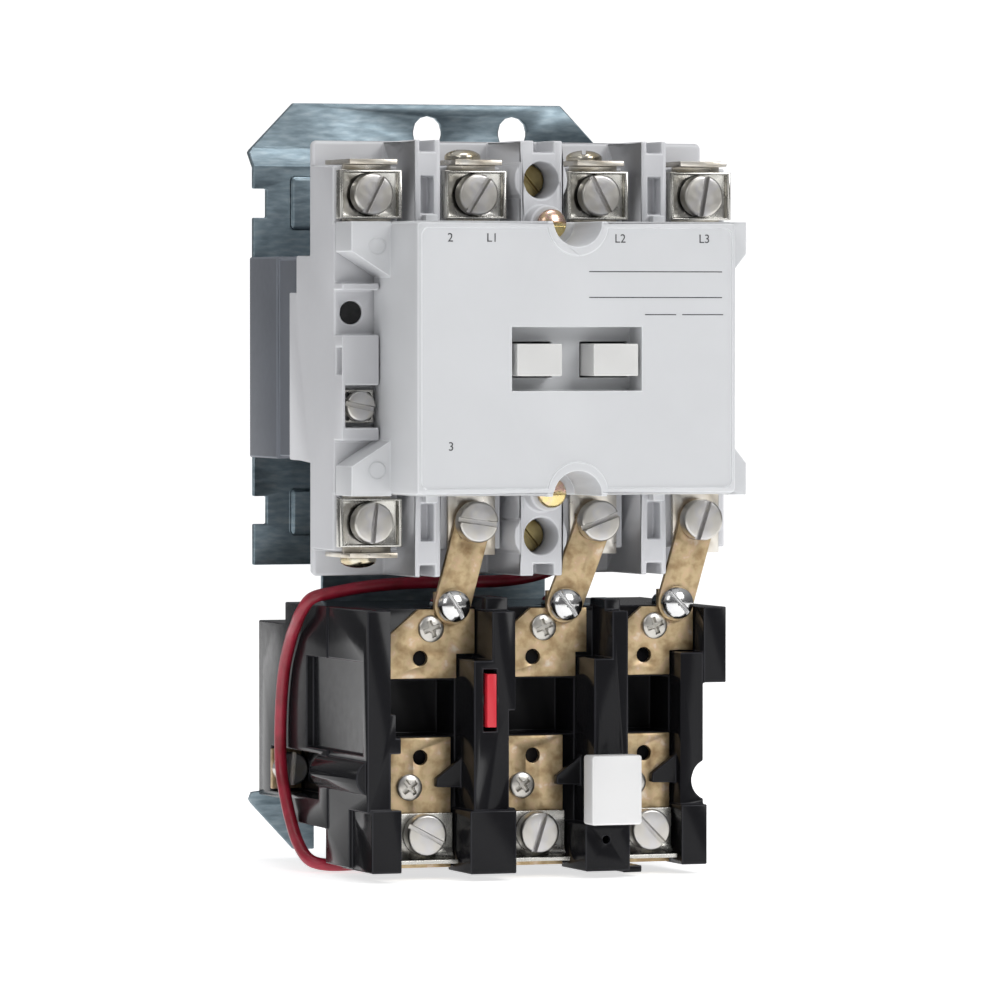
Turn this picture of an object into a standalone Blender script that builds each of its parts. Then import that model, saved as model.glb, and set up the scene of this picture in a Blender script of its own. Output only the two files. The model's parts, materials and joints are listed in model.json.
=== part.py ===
"""Open-type magnetic motor starter: a contactor and an overload relay on one zinc-plated panel plate.

+X is to the right and -Y is towards the person in front of the panel. The origin lies in the
plane of the panel, at the middle of the plate. Sizes are in millimetres; MM turns them into metres.
"""

import math

import bmesh
import bpy
from mathutils import Matrix, Vector

MM = 0.001
GAP = 0.3

# Mounting plate.
PLATE_HALF_WIDTH = 49.0
PLATE_HALF_HEIGHT = 95.8
PLATE_SHEET = 1.6
PLATE_RAISE = 5.0
JOG_Z = (79.0, 83.6)

# Contactor. Everything below its middle height mirrors what is above it.
MIDDLE_Z = 30.7
HOUSING_HALF_WIDTH = 51.8
HOUSING_Z = (-23.3, 84.7)
WALL_Y = (-62.5, -59.5)
SIDE_FRONT_Y = -79.2
SEAT_FRONT_Y = -78.3
DIVIDER_FRONT_Y = -86.0
POLES = {"aux": -43.5, "1": -16.1, "2": 16.1, "3": 43.5}
POLE_SCREW_Z = 71.1
DIVIDER_X = (26.5, 33.1)
BOSS_BORE_Z = 74.7
BOSS_BORE_R = 4.6
COVER_SCREW_Z = 63.8
COVER_HALF_WIDTH = 41.8
COVER_FRONT_Y = -112.0
COVER_Z = (-2.6, 64.3)
COVER_WALL = 1.8
WING_FRONT_Y = -92.4
WINDOW_X = (-17.0, 16.8)
WINDOW_Z = (22.9, 38.5)
WINDOW_FLOOR_Y = -103.0
BUTTON_X = (4.1, 15.8)
BUTTON_Z = (26.5, 34.4)

# Terminals and screws.
STRIP = 1.2
STRIP_HALF_WIDTH = 6.2
SCREW_HEAD_R = 5.1
SCREW_FRONT_Y = -85.6
SHANK_R = 2.0

# Overload relay.
RELAY_HALF_WIDTH = 48.0
RELAY_TOP_Z = -31.0
RELAY_FLOOR_Y = -77.9
RELAY_FRONT_Y = -92.0
RELAY_POLES = {"1": -29.6, "2": 0.0, "3": 29.6}
HEATER_PLATE_Y = (-79.8, -78.2)
STRAP_R = 4.7
LOAD_SCREW_Z = -86.8
RESET_AXIS = (16.2, -70.8)
TRIP_PIVOT = (-88.0, -53.3)
TRIP_BAR_AXIS = (-50.0, -55.5)
TRIP_BLADE_X = (-16.8, -14.4)

LEAD_R = 1.55

PARTS = "magnetic_motor_starter"
CUTTERS = "cutters"

# Names, and the base colour, roughness and metallic value of each material.
FINISHES = {
    "zinc_plate": ((0.42, 0.50, 0.54), 0.28, 1.0),
    "grey_moulding": ((0.68, 0.69, 0.72), 0.45, 0.0),
    "cover_moulding": ((0.76, 0.77, 0.79), 0.40, 0.0),
    "magnet_moulding": ((0.12, 0.13, 0.15), 0.50, 0.0),
    "carrier_moulding": ((0.80, 0.80, 0.76), 0.45, 0.0),
    "relay_moulding": ((0.02, 0.02, 0.023), 0.30, 0.0),
    "coil_wrap": ((0.10, 0.08, 0.05), 0.55, 0.0),
    "core_steel": ((0.35, 0.35, 0.36), 0.40, 1.0),
    "contact_copper": ((0.72, 0.46, 0.32), 0.35, 1.0),
    "nickel": ((0.66, 0.64, 0.58), 0.28, 1.0),
    "bright_steel": ((0.80, 0.80, 0.80), 0.12, 1.0),
    "yellow_zinc": ((0.78, 0.60, 0.30), 0.22, 1.0),
    "tinned_brass": ((0.64, 0.54, 0.36), 0.42, 0.9),
    "spring_steel": ((0.50, 0.50, 0.52), 0.30, 1.0),
    "white_button": ((0.85, 0.85, 0.85), 0.35, 0.0),
    "red_lever": ((0.72, 0.03, 0.05), 0.35, 0.0),
    "red_insulation": ((0.35, 0.01, 0.03), 0.35, 0.0),
}

AXES = {
    "X": Matrix(((0, 0, 1, 0), (1, 0, 0, 0), (0, 1, 0, 0), (0, 0, 0, 1))),
    "Y": Matrix(((1, 0, 0, 0), (0, 0, -1, 0), (0, 1, 0, 0), (0, 0, 0, 1))),
    "Z": Matrix.Identity(4),
}


def clear_scene():
    for obj in list(bpy.data.objects):
        bpy.data.objects.remove(obj, do_unlink=True)


def new_collection(name):
    collection = bpy.data.collections.new(name)
    bpy.context.scene.collection.children.link(collection)
    return collection


def material(name):
    """The Principled material of this name, made the first time it is asked for."""
    if name in bpy.data.materials:
        return bpy.data.materials[name]
    colour, roughness, metallic = FINISHES[name]
    made = bpy.data.materials.new(name)
    made.use_nodes = True
    made.diffuse_color = (*colour, 1.0)
    shader = made.node_tree.nodes["Principled BSDF"]
    shader.inputs["Base Color"].default_value = (*colour, 1.0)
    shader.inputs["Roughness"].default_value = roughness
    shader.inputs["Metallic"].default_value = metallic
    return made


def add(name, mesh):
    obj = bpy.data.objects.new(name, mesh)
    bpy.data.collections[PARTS].objects.link(obj)
    return obj


def finish(obj, finish_name, smooth=False):
    """Gives a part its material and, on a round part, smooth shading with sharp edges kept."""
    obj.data.materials.clear()
    obj.data.materials.append(material(finish_name))
    if smooth:
        obj.data.shade_smooth()
        obj.data.set_sharp_from_angle(angle=math.radians(35))
    return obj


def from_bmesh(name, bm):
    bmesh.ops.recalc_face_normals(bm, faces=bm.faces)
    mesh = bpy.data.meshes.new(name)
    bm.to_mesh(mesh)
    bm.free()
    return add(name, mesh)


def add_box(bm, x, y, z):
    made = bmesh.ops.create_cube(bm, size=1.0)["verts"]
    sides = [(hi - lo) * MM for lo, hi in (x, y, z)]
    middle = [(lo + hi) / 2 * MM for lo, hi in (x, y, z)]
    bmesh.ops.scale(bm, vec=sides, verts=made)
    bmesh.ops.translate(bm, vec=middle, verts=made)


def blocks(name, *boxes):
    """One mesh of one or more boxes, each given as its (low, high) along X, Y and Z."""
    bm = bmesh.new()
    for box in boxes:
        add_box(bm, *box)
    return from_bmesh(name, bm)


def axis_matrix(axis, across, along):
    """Where a shape built on local Z goes: its two coordinates across the axis and one along it."""
    place = {
        "X": (along, *across),
        "Y": (across[0], along, across[1]),
        "Z": (*across, along),
    }[axis]
    return Matrix.Translation(Vector(place) * MM) @ AXES[axis]


def add_rod(bm, axis, across, radius, span, sides=24):
    low, high = span
    bmesh.ops.create_cone(
        bm,
        cap_ends=True,
        segments=sides,
        radius1=radius * MM,
        radius2=radius * MM,
        depth=(high - low) * MM,
        matrix=axis_matrix(axis, across, (low + high) / 2),
    )


def rods(name, axis, places, radius, span, sides=24):
    """One mesh of equal cylinders along one axis, one at each place across it."""
    bm = bmesh.new()
    for across in places:
        add_rod(bm, axis, across, radius, span, sides)
    return from_bmesh(name, bm)


def outlined(name, axis, outline, span, holes=()):
    """A flat outline, with any holes, as thick as span along the axis."""
    low, high = span
    curve = bpy.data.curves.new(name, "CURVE")
    curve.dimensions = "2D"
    curve.fill_mode = "BOTH"
    curve.extrude = (high - low) / 2 * MM
    for loop in (outline, *holes):
        spline = curve.splines.new("POLY")
        spline.points.add(len(loop) - 1)
        for point, (a, b) in zip(spline.points, loop):
            point.co = (a * MM, b * MM, 0.0, 1.0)
        spline.use_cyclic_u = True
    return from_curve(name, curve, axis_matrix(axis, (0.0, 0.0), (low + high) / 2))


def from_curve(name, curve, place):
    """The curve as a closed mesh, its caps welded on."""
    guide = add(name + "_guide", curve)
    bpy.context.view_layer.update()
    mesh = bpy.data.meshes.new_from_object(guide.evaluated_get(bpy.context.evaluated_depsgraph_get()))
    mesh.transform(place)
    bpy.data.objects.remove(guide, do_unlink=True)
    bm = bmesh.new()
    bm.from_mesh(mesh)
    bpy.data.meshes.remove(mesh)
    bmesh.ops.remove_doubles(bm, verts=bm.verts, dist=1e-6)
    return from_bmesh(name, bm)


def turned(name, across, profile, steps=24):
    """A solid turned about an axis along Y. The profile lists (radius, y) from the front backwards."""
    bm = bmesh.new()
    verts = [bm.verts.new((radius * MM, 0.0, -y * MM)) for radius, y in profile]
    for first, second in zip(verts, verts[1:]):
        bm.edges.new((first, second))
    mesh = bpy.data.meshes.new(name)
    bm.to_mesh(mesh)
    bm.free()
    obj = add(name, mesh)
    obj.matrix_world = axis_matrix("Y", across, 0.0)
    screw = obj.modifiers.new("turn", "SCREW")
    screw.steps = screw.render_steps = steps
    screw.use_merge_vertices = True
    screw.merge_threshold = 1e-5
    return obj


def tube(name, points, radius, sides_resolution=2):
    """A round wire along a smooth curve through the points."""
    route = smooth_route(points, spacing=2.6 * radius)
    curve = bpy.data.curves.new(name, "CURVE")
    curve.dimensions = "3D"
    curve.bevel_depth = radius * MM
    curve.bevel_resolution = sides_resolution
    curve.use_fill_caps = True
    spline = curve.splines.new("POLY")
    spline.points.add(len(route) - 1)
    for point, place in zip(spline.points, route):
        point.co = (*(place * MM), 1.0)
    return from_curve(name, curve, Matrix.Identity(4))


def smooth_route(points, spacing):
    """Points about this far apart on the Catmull-Rom curve through the given ones."""
    given = [Vector(p) for p in points]
    given = [2 * given[0] - given[1], *given, 2 * given[-1] - given[-2]]
    fine = []
    for a, b, c, d in zip(given, given[1:], given[2:], given[3:]):
        for step in range(20):
            t = step / 20
            bend = 2 * a - 5 * b + 4 * c - d
            swing = 3 * b - a - 3 * c + d
            fine.append(0.5 * (2 * b + (c - a) * t + bend * t * t + swing * t**3))
    fine.append(given[-2])
    route, walked = [fine[0]], 0.0
    for before, after in zip(fine, fine[1:]):
        walked += (after - before).length
        if walked >= spacing:
            route.append(after)
            walked = 0.0
    if walked < spacing / 2:
        route.pop()
    return [*route, fine[-1]]


def use_as(obj, tool, operation):
    """Joins, cuts or crops obj with a tool, which becomes a hidden helper."""
    modifier = obj.modifiers.new(tool.name, "BOOLEAN")
    modifier.operation = operation
    modifier.solver = "EXACT"
    modifier.object = tool
    bpy.data.collections[PARTS].objects.unlink(tool)
    bpy.data.collections[CUTTERS].objects.link(tool)
    tool.hide_render = True
    tool.display_type = "WIRE"


def join(obj, *tools):
    for tool in tools:
        use_as(obj, tool, "UNION")


def cut(obj, *tools):
    for tool in tools:
        use_as(obj, tool, "DIFFERENCE")


def soften(obj, width, segments=1):
    bevel = obj.modifiers.new("soften", "BEVEL")
    bevel.width = width * MM
    bevel.segments = segments
    bevel.limit_method = "ANGLE"


def around(centre, half):
    return (centre - half, centre + half)


def both(span):
    """A span on the right of the middle plane and its twin on the left."""
    return (span, (-span[1], -span[0]))


def below(span):
    """A height span above the contactor's middle, mirrored below it."""
    return (2 * MIDDLE_Z - span[1], 2 * MIDDLE_Z - span[0])


def below_z(z):
    return 2 * MIDDLE_Z - z


def upper_and_lower(z):
    return (z, below_z(z))


def obround(x, z, radius, half_run, steps=6):
    """A slot outline that stands upright."""
    top = [(x + radius * math.cos(a), z + half_run + radius * math.sin(a)) for a in half_turn(steps)]
    foot = [(x - radius * math.cos(a), z - half_run - radius * math.sin(a)) for a in half_turn(steps)]
    return top + foot


def half_turn(steps):
    return [math.pi * step / steps for step in range(steps + 1)]


def slotted(name, axis_place, profile, slot_width, slot_depth, slot_angle, finish_name):
    """A turned screw along Y whose driver slot is cut across its head at an angle in degrees."""
    screw = turned(name, axis_place, profile)
    front = min(y for _, y in profile)
    reach = 2 * max(radius for radius, _ in profile)
    slot_y = (front - 2, front + slot_depth)
    bar = blocks(name + "_slot", (around(0, reach), slot_y, around(0, slot_width / 2)))
    turn = Matrix.Rotation(math.radians(-slot_angle), 4, "Y")
    x, z = axis_place
    bar.data.transform(Matrix.Translation((x * MM, 0, z * MM)) @ turn)
    cut(screw, bar)
    return finish(screw, finish_name, smooth=True)


# --------------------------------------------------------------------------- mounting plate


def mounting_plate():
    """A sheet with a forward jog near each end, chamfered flanges, slots and two square notches."""
    rise, sheet = PLATE_RAISE, PLATE_SHEET
    low_jog, high_jog = JOG_Z
    end = PLATE_HALF_HEIGHT
    past = end + 2
    strip = [(0, -past), (0, -high_jog), (-rise, -low_jog), (-rise, low_jog), (0, high_jog), (0, past)]
    front = [(y - sheet, z + sheet * 0.4 * math.copysign(1, z) * (abs(z) < past)) for y, z in strip]
    plate = outlined("mounting_plate", "X", strip + front[::-1], around(0, PLATE_HALF_WIDTH + 1))

    wide, notch = PLATE_HALF_WIDTH, PLATE_HALF_WIDTH - 3.5
    waist = 30.5
    half = [
        (36.5, end), (wide, 83.0), (wide, 73.7), (notch, 73.7), (notch, 66.3), (wide, 66.3),
        (wide, -4.8), (notch, -4.8), (notch, -11.9), (wide, -11.9), (wide, -22.4), (waist, -22.4),
        (waist, -78.0), (wide, -80.6), (wide, -82.6), (36.5, -end), (31.0, -end), (31.0, -87.5),
        (14.0, -87.5), (14.0, -end), (3.9, -end), (3.9, -91.0),
    ]
    outline = half + [(-x, z) for x, z in reversed(half)]
    slots = [obround(x, 88.4, 3.9, 0.5) for x in (0.0, 23.3)]
    use_as(plate, outlined("plate_outline", "Y", outline, (-12, 4), slots), "INTERSECT")

    pads = blocks("plate_pads", *[
        (x, (-rise - sheet - 1.1, -rise - sheet + 0.6), z)
        for x in both((23.0, 39.2)) for z in ((63.2, 77.0), (-15.0, -2.8))
    ])
    soften(pads, 1.0)
    join(plate, pads)
    return finish(plate, "zinc_plate")


# --------------------------------------------------------------------------- magnet


def magnet_base():
    """The dark moulding that stands on the plate and holds the coil and the fixed core."""
    base = blocks("magnet_base", (around(0, 50.2), (-29.5, -6.9), (5.2, 56.2)))
    skirt = blocks("magnet_skirt", (around(0, 49.5), (-43.6, -28.0), (5.8, 55.6)))
    join(base, skirt)
    cut(base, blocks("magnet_well", (around(0, 46.5), (-46.0, -9.6), (8.6, 52.6))))
    return finish(base, "magnet_moulding")


def e_core(name, yoke_y, leg_end_y, finish_name):
    """A laminated E: a yoke with three legs that point along Y, as thick as the stack along Z."""
    legs = [around(0, 5.6), *both((27.0, 33.8))]
    near, far = yoke_y
    legs_point_back = leg_end_y > far
    root = (far - 0.5, leg_end_y) if legs_point_back else (leg_end_y, near + 0.5)
    core = blocks(name, (around(0, 33.8), yoke_y, around(MIDDLE_Z, 7.3)))
    for number, leg in enumerate(legs):
        join(core, blocks(f"{name}_leg_{number}", (leg, root, around(MIDDLE_Z, 7.3))))
    return finish(core, finish_name)


def coil():
    """The bobbin and its winding, as one wrapped block with the centre leg's window through it."""
    body = blocks("coil", (around(0, 25.6), (-37.5, -16.8), (12.2, 49.2)))
    for place, y in (("front", (-38.9, -36.9)), ("rear", (-17.8, -16.2))):
        join(body, blocks(f"coil_flange_{place}", (around(0, 26.4), y, (11.2, 50.2))))
    cut(body, blocks("coil_window", (around(0, 6.2), (-42.0, -12.0), around(MIDDLE_Z, 7.9))))
    return finish(body, "coil_wrap")


# --------------------------------------------------------------------------- contactor housing


def contact_slots(name, half_width):
    """Where each terminal strip enters the housing: in over the body, back, and down to its tip."""
    upper = [
        (-80.6, 59.7), (-80.6, 64.7), (-78.0, 64.7), (-78.0, 61.9), (-64.5, 61.9), (-64.5, 49.4),
        (-66.7, 49.4), (-66.7, 59.7),
    ]
    lower = [(y, below_z(z)) for y, z in upper]
    made = []
    for pole, x in POLES.items():
        for place, outline in (("upper", upper), ("lower", lower)):
            made.append(outlined(f"{name}_{place}_{pole}", "X", outline, around(x, half_width)))
    return made


def contactor_housing():
    """The light grey body: pole seats, dividers, centre columns and the arc chamber, open at the back."""
    wide = HOUSING_HALF_WIDTH
    body = blocks("contactor_housing", (around(0, wide), WALL_Y, HOUSING_Z))
    soften(body, 1.2, 2)
    middle = blocks("housing_middle", (around(0, wide), (-61.0, -44.0), (5.2, 47.0)))
    shoulder = blocks("housing_shoulder", (around(0, wide), (-61.0, -49.4), (46.0, 56.2)))
    chest = blocks("housing_chest", (around(0, wide), (SIDE_FRONT_Y, -61.0), (-2.6, 64.0)))
    join(body, middle, shoulder, chest)
    for side, x in zip(("right", "left"), both((41.9 + GAP, wide))):
        join(body, blocks(f"housing_ledge_{side}", (x, (-85.4, -78.0), (10.6, 49.2))))
    join(body, blocks("arc_chamber", (around(0, 39.5), (-85.7, -78.0), (0.0, 61.4))))

    seat_z, tall_z = (61.0, 78.0), (61.0, HOUSING_Z[1] - 0.2)
    column_y = (DIVIDER_FRONT_Y, -61.0)
    for level, mirror in (("upper", lambda span: span), ("lower", below)):
        seat_x = (*both((35.0, wide)), *both((8.0, 24.4)))
        seats = [(x, (SEAT_FRONT_Y, -61.0), mirror(seat_z)) for x in seat_x]
        dividers = [(x, column_y, mirror(tall_z)) for x in both(DIVIDER_X)]
        join(body, blocks(f"seats_{level}", *seats), blocks(f"dividers_{level}", *dividers))
        column = blocks(f"column_{level}", (around(0, 5.6), column_y, mirror(tall_z)))
        bore_z = sum(mirror((BOSS_BORE_Z, BOSS_BORE_Z))) / 2
        screw_z = sum(mirror((COVER_SCREW_Z, COVER_SCREW_Z))) / 2
        bulge = rods(f"column_bulge_{level}", "Y", [(0, bore_z)], 7.0, (DIVIDER_FRONT_Y + 0.05, -61.0))
        boss = rods(f"cover_screw_boss_{level}", "Y", [(0, screw_z)], 4.7, (-91.0, -80.0))
        join(body, column, bulge, boss)

    levels = [lambda span: span, below]
    cut(
        body,
        blocks("tunnel", (around(0, 49.0), (-76.5, -48.6), (8.2, 53.0))),
        blocks("tunnel_mouth", (around(0, 47.5), (-49.0, -40.0), (8.2, 44.2))),
        blocks("chamber_mouth", (around(0, 37.5), (-90.0, -76.0), (4.6, 56.6))),
        rods("column_bores", "Y", [(0, z) for z in upper_and_lower(BOSS_BORE_Z)], BOSS_BORE_R, (-90, -66)),
        rods("cover_screw_bores", "Y", [(0, z) for z in upper_and_lower(COVER_SCREW_Z)], 1.9, (-95, -80)),
        rods("pole_screw_bores", "Y", pole_screw_places(), SHANK_R + 0.3, (-82, -70), 12),
        blocks("divider_pockets", *[
            (x, (-92, -81.5), mirror((66.4, 75.6))) for x in both((28.2, 31.6)) for mirror in levels
        ]),
        blocks("top_notches", *[
            (x, (-92, -74), mirror((81.6, 90.0)))
            for x in (*both((28.0, 31.8)), around(0.6, 2.6)) for mirror in levels
        ]),
        *contact_slots("contact_slot", STRIP_HALF_WIDTH + 0.3),
    )
    cut(
        body,
        blocks("square_recess", ((-54.0, -41.9), (-88.0, -79.2), (36.6, 47.5))),
        rods("recess_hole", "Y", [(-47.4, 42.0)], 2.9, (-82.0, -62.0)),
        blocks("square_pocket", ((-54.0, -47.6), (-84.6, -80.4), (26.9, 33.4))),
        blocks("coil_terminal_opening", ((-51.0, -41.6), (-88.0, -79.6), (13.8, 24.2))),
        rods("coil_screw_bore", "Y", [(-46.6, 19.0)], SHANK_R + 0.3, (-82, -70), 12),
    )
    return finish(body, "grey_moulding")


def front_cover():
    """The deep cap over the arc chamber: window, two half-round screw wells, wings and hook lugs."""
    wide, wall = COVER_HALF_WIDTH, COVER_WALL
    low, high = COVER_Z
    cover = blocks("front_cover", (around(0, wide), (COVER_FRONT_Y, DIVIDER_FRONT_Y - GAP), COVER_Z))
    soften(cover, 1.6, 2)
    inside = (low + wall, high - wall)
    cut(cover, blocks("cover_inside", (around(0, wide - wall), (COVER_FRONT_Y + wall, -80.0), inside)))

    cheeks = [(x, (-88.0, SIDE_FRONT_Y - 1.0), COVER_Z) for x in both((wide - wall, wide))]
    join(cover, blocks("cover_cheeks", *cheeks))
    pocket_x = (WINDOW_X[0] - 1.4, WINDOW_X[1] + 1.4)
    pocket_z = (WINDOW_Z[0] - 1.4, WINDOW_Z[1] + 1.4)
    join(cover, blocks("window_box", (pocket_x, (-111.0, WINDOW_FLOOR_Y + 1.5), pocket_z)))
    for level, mirror in (("upper", lambda z: z), ("lower", below_z)):
        centre = (0, mirror(64.4))
        wall_rod = rods(f"well_wall_{level}", "Y", [centre], 7.8, (-111.5, -91.3), 32)
        beyond = tuple(sorted((mirror(high), mirror(90))))
        trim = blocks(f"well_trim_{level}", ((-12, 12), (-120, -80), beyond))
        use_as(wall_rod, trim, "DIFFERENCE")
        join(cover, wall_rod)
    for level, mirror in (("upper", lambda z: z), ("lower", below_z)):
        top = mirror(high)
        wing = [(-wide + 0.5, mirror(50.4)), (-wide + 0.5, top), (-51.8, top), (-51.8, mirror(57.0))]
        lug = [(wide - 0.5, mirror(50.5)), (wide - 0.5, top), (46.2, top), (46.2, mirror(56.5))]
        join(
            cover,
            outlined(f"wing_{level}", "Y", wing, (WING_FRONT_Y, SIDE_FRONT_Y - 1.0)),
            outlined(f"lug_{level}", "Y", lug, (-107.0, -87.2)),
        )
        tabs = [(x, (-89.4, DIVIDER_FRONT_Y - GAP), tuple(sorted((mirror(62.8), mirror(66.1)))))
                for x in both((28.4, 31.4))]
        join(cover, blocks(f"tabs_{level}", *tabs))

    wells = [(0, z) for z in upper_and_lower(64.4)]
    screws = [(0, z) for z in upper_and_lower(COVER_SCREW_Z)]
    cut(
        cover,
        blocks("window", (WINDOW_X, (-114.0, WINDOW_FLOOR_Y), WINDOW_Z)),
        blocks("button_holes", *[
            (x, (-106.0, -99.0), (BUTTON_Z[0] - 0.4, BUTTON_Z[1] + 0.5))
            for x in both((BUTTON_X[0] - 0.4, BUTTON_X[1] + 0.4))
        ]),
        rods("wells", "Y", wells, 6.35, (-116.0, -92.7), 32),
        rods("cover_screw_holes", "Y", screws, 2.2, (-95.0, -80.0), 12),
        rods("boss_clearances", "Y", screws, 5.1, (-91.3, -78.0), 32),
    )
    return finish(cover, "cover_moulding")


# --------------------------------------------------------------------------- poles


def pole_screw_places():
    return [(x, z) for x in POLES.values() for z in upper_and_lower(POLE_SCREW_Z)]


def terminal(level, pole, with_lip):
    """A strip bent into the housing: a wire lip, the clamped face, and the contact tip inside."""
    x = POLES[pole]
    face, tip = SEAT_FRONT_Y - GAP, -65.0
    lip = [(face, 78.5), (-66.0, 78.6), (-66.0, 79.7), (-85.0, 79.7), (-85.0, 78.4)]
    end = lip if with_lip else [(face, 79.4)]
    strip = [
        (face - STRIP, 78.4 if with_lip else 79.4), (face - STRIP, 60.2), (tip - STRIP, 60.2),
        (tip - STRIP, 50.0), (tip, 50.0), (tip, 61.4), (face, 61.4), *end,
    ]
    if level == "lower":
        strip = [(y, below_z(z)) for y, z in strip]
    name = f"{'line' if level == 'upper' else 'load'}_contact_{pole}"
    piece = outlined(name, "X", strip, around(x, STRIP_HALF_WIDTH))
    z = POLE_SCREW_Z if level == "upper" else below_z(POLE_SCREW_Z)
    cut(piece, rods(name + "_hole", "Y", [(x, z)], SHANK_R + 0.3, (-84, -74), 12))
    return finish(piece, "nickel" if with_lip else "contact_copper")


def saddle(level, pole):
    """The square cupped plate that a terminal screw presses on the wire."""
    x = POLES[pole]
    z = (65.1, 77.1)
    middle = POLE_SCREW_Z
    name = f"pressure_plate_{'line' if level == 'upper' else 'load'}_{pole}"
    if level == "lower":
        z, middle = below(z), below_z(middle)
    piece = blocks(name, (around(x, 8.1), (-83.0, -80.1), z))
    cut(
        piece,
        blocks(name + "_cup", (around(x, 7.1), (-86.0, -81.1), (z[0] + 0.6, z[1] - 0.6))),
        rods(name + "_hole", "Y", [(x, middle)], SHANK_R + 0.3, (-84, -74), 12),
    )
    return finish(piece, "nickel")


def terminal_screw(name, place, angle, seat_y=-81.4, front_y=SCREW_FRONT_Y, head_r=SCREW_HEAD_R):
    """A cheese-head screw: a plain shank, and a head with a small edge break and a wide slot."""
    profile = [
        (0.0, front_y), (head_r - 0.4, front_y), (head_r, front_y + 0.4), (head_r, seat_y),
        (SHANK_R, seat_y), (SHANK_R, seat_y + 9.5), (0.0, seat_y + 9.5),
    ]
    return slotted(name, place, profile, 1.2, 1.5, angle, "nickel")


def dome_screw(name, place, angle, seat_y, rise, head_r, shank, finish_name):
    """A domed screw: its head is a flat spherical cap over a short rim."""
    rim = seat_y - 0.7
    turns = [math.pi / 2 * step / 5 for step in range(5, -1, -1)]
    dome = [(head_r * math.cos(a), rim - rise * math.sin(a)) for a in turns[1:]]
    profile = [
        (0.0, rim - rise), *dome, (head_r, seat_y), (SHANK_R - 0.3, seat_y),
        (SHANK_R - 0.3, seat_y + shank), (0.0, seat_y + shank),
    ]
    return slotted(name, place, profile, 1.0, 1.5, angle, finish_name)


def contactor_poles():
    angles = {"aux": (63, 85), "1": (58, -8), "2": (-62, 20), "3": (80, 72)}
    for pole, x in POLES.items():
        terminal("upper", pole, True)
        terminal("lower", pole, pole == "aux")
        saddle("upper", pole)
        terminal_screw(f"line_screw_{pole}", (x, POLE_SCREW_Z), angles[pole][0])
        clamps_strap = pole != "aux"
        if not clamps_strap:
            saddle("lower", pole)
        terminal_screw(
            f"load_screw_{pole}", (x, below_z(POLE_SCREW_Z)), angles[pole][1],
            seat_y=-81.8 if clamps_strap else -81.4,
        )


def carrier():
    """The moving crossbar. Its two white buttons fill the cover's window, and the armature rides behind."""
    bar = blocks("contact_carrier", (around(0, 48.5), (-76.2, -68.4), (23.4, 38.0)))
    join(
        bar,
        blocks("button_stems", *[(x, (COVER_FRONT_Y + 0.2, -75.0), BUTTON_Z) for x in both(BUTTON_X)]),
        blocks("armature_post", (around(0, 12.0), (-69.0, -57.0), (25.0, 36.4))),
        blocks("spring_foot", ((-20.6, -13.8), (-69.5, -63.9), (36.0, 44.2))),
    )
    cut(bar, blocks("contact_windows", *[
        (around(x, 4.1), (-72.9, -70.4), (20.0, 42.0)) for x in POLES.values()
    ]))
    finish(bar, "carrier_moulding")
    for pole, x in POLES.items():
        bridge = blocks(f"moving_contact_{pole}", (around(x, 3.8), (-72.5, -71.0), (9.6, 51.8)))
        finish(bridge, "contact_copper")
    e_core("armature", (-56.7, -50.5), -43.0, "core_steel")
    e_core("fixed_core", (-15.9, -10.0), -38.2, "core_steel")
    spring("kickout_spring", (-17.2, 41.0), 2.5, (-63.6, -39.2))


def spring(name, across, radius, y):
    """A coil spring as the sleeve that its turns fill."""
    sleeve = rods(name, "Y", [across], radius, y, 16)
    cut(sleeve, rods(name + "_inside", "Y", [across], radius - 1.0, (y[0] - 2, y[1] + 2), 16))
    return finish(sleeve, "spring_steel", smooth=True)


# --------------------------------------------------------------------------- overload relay


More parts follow.
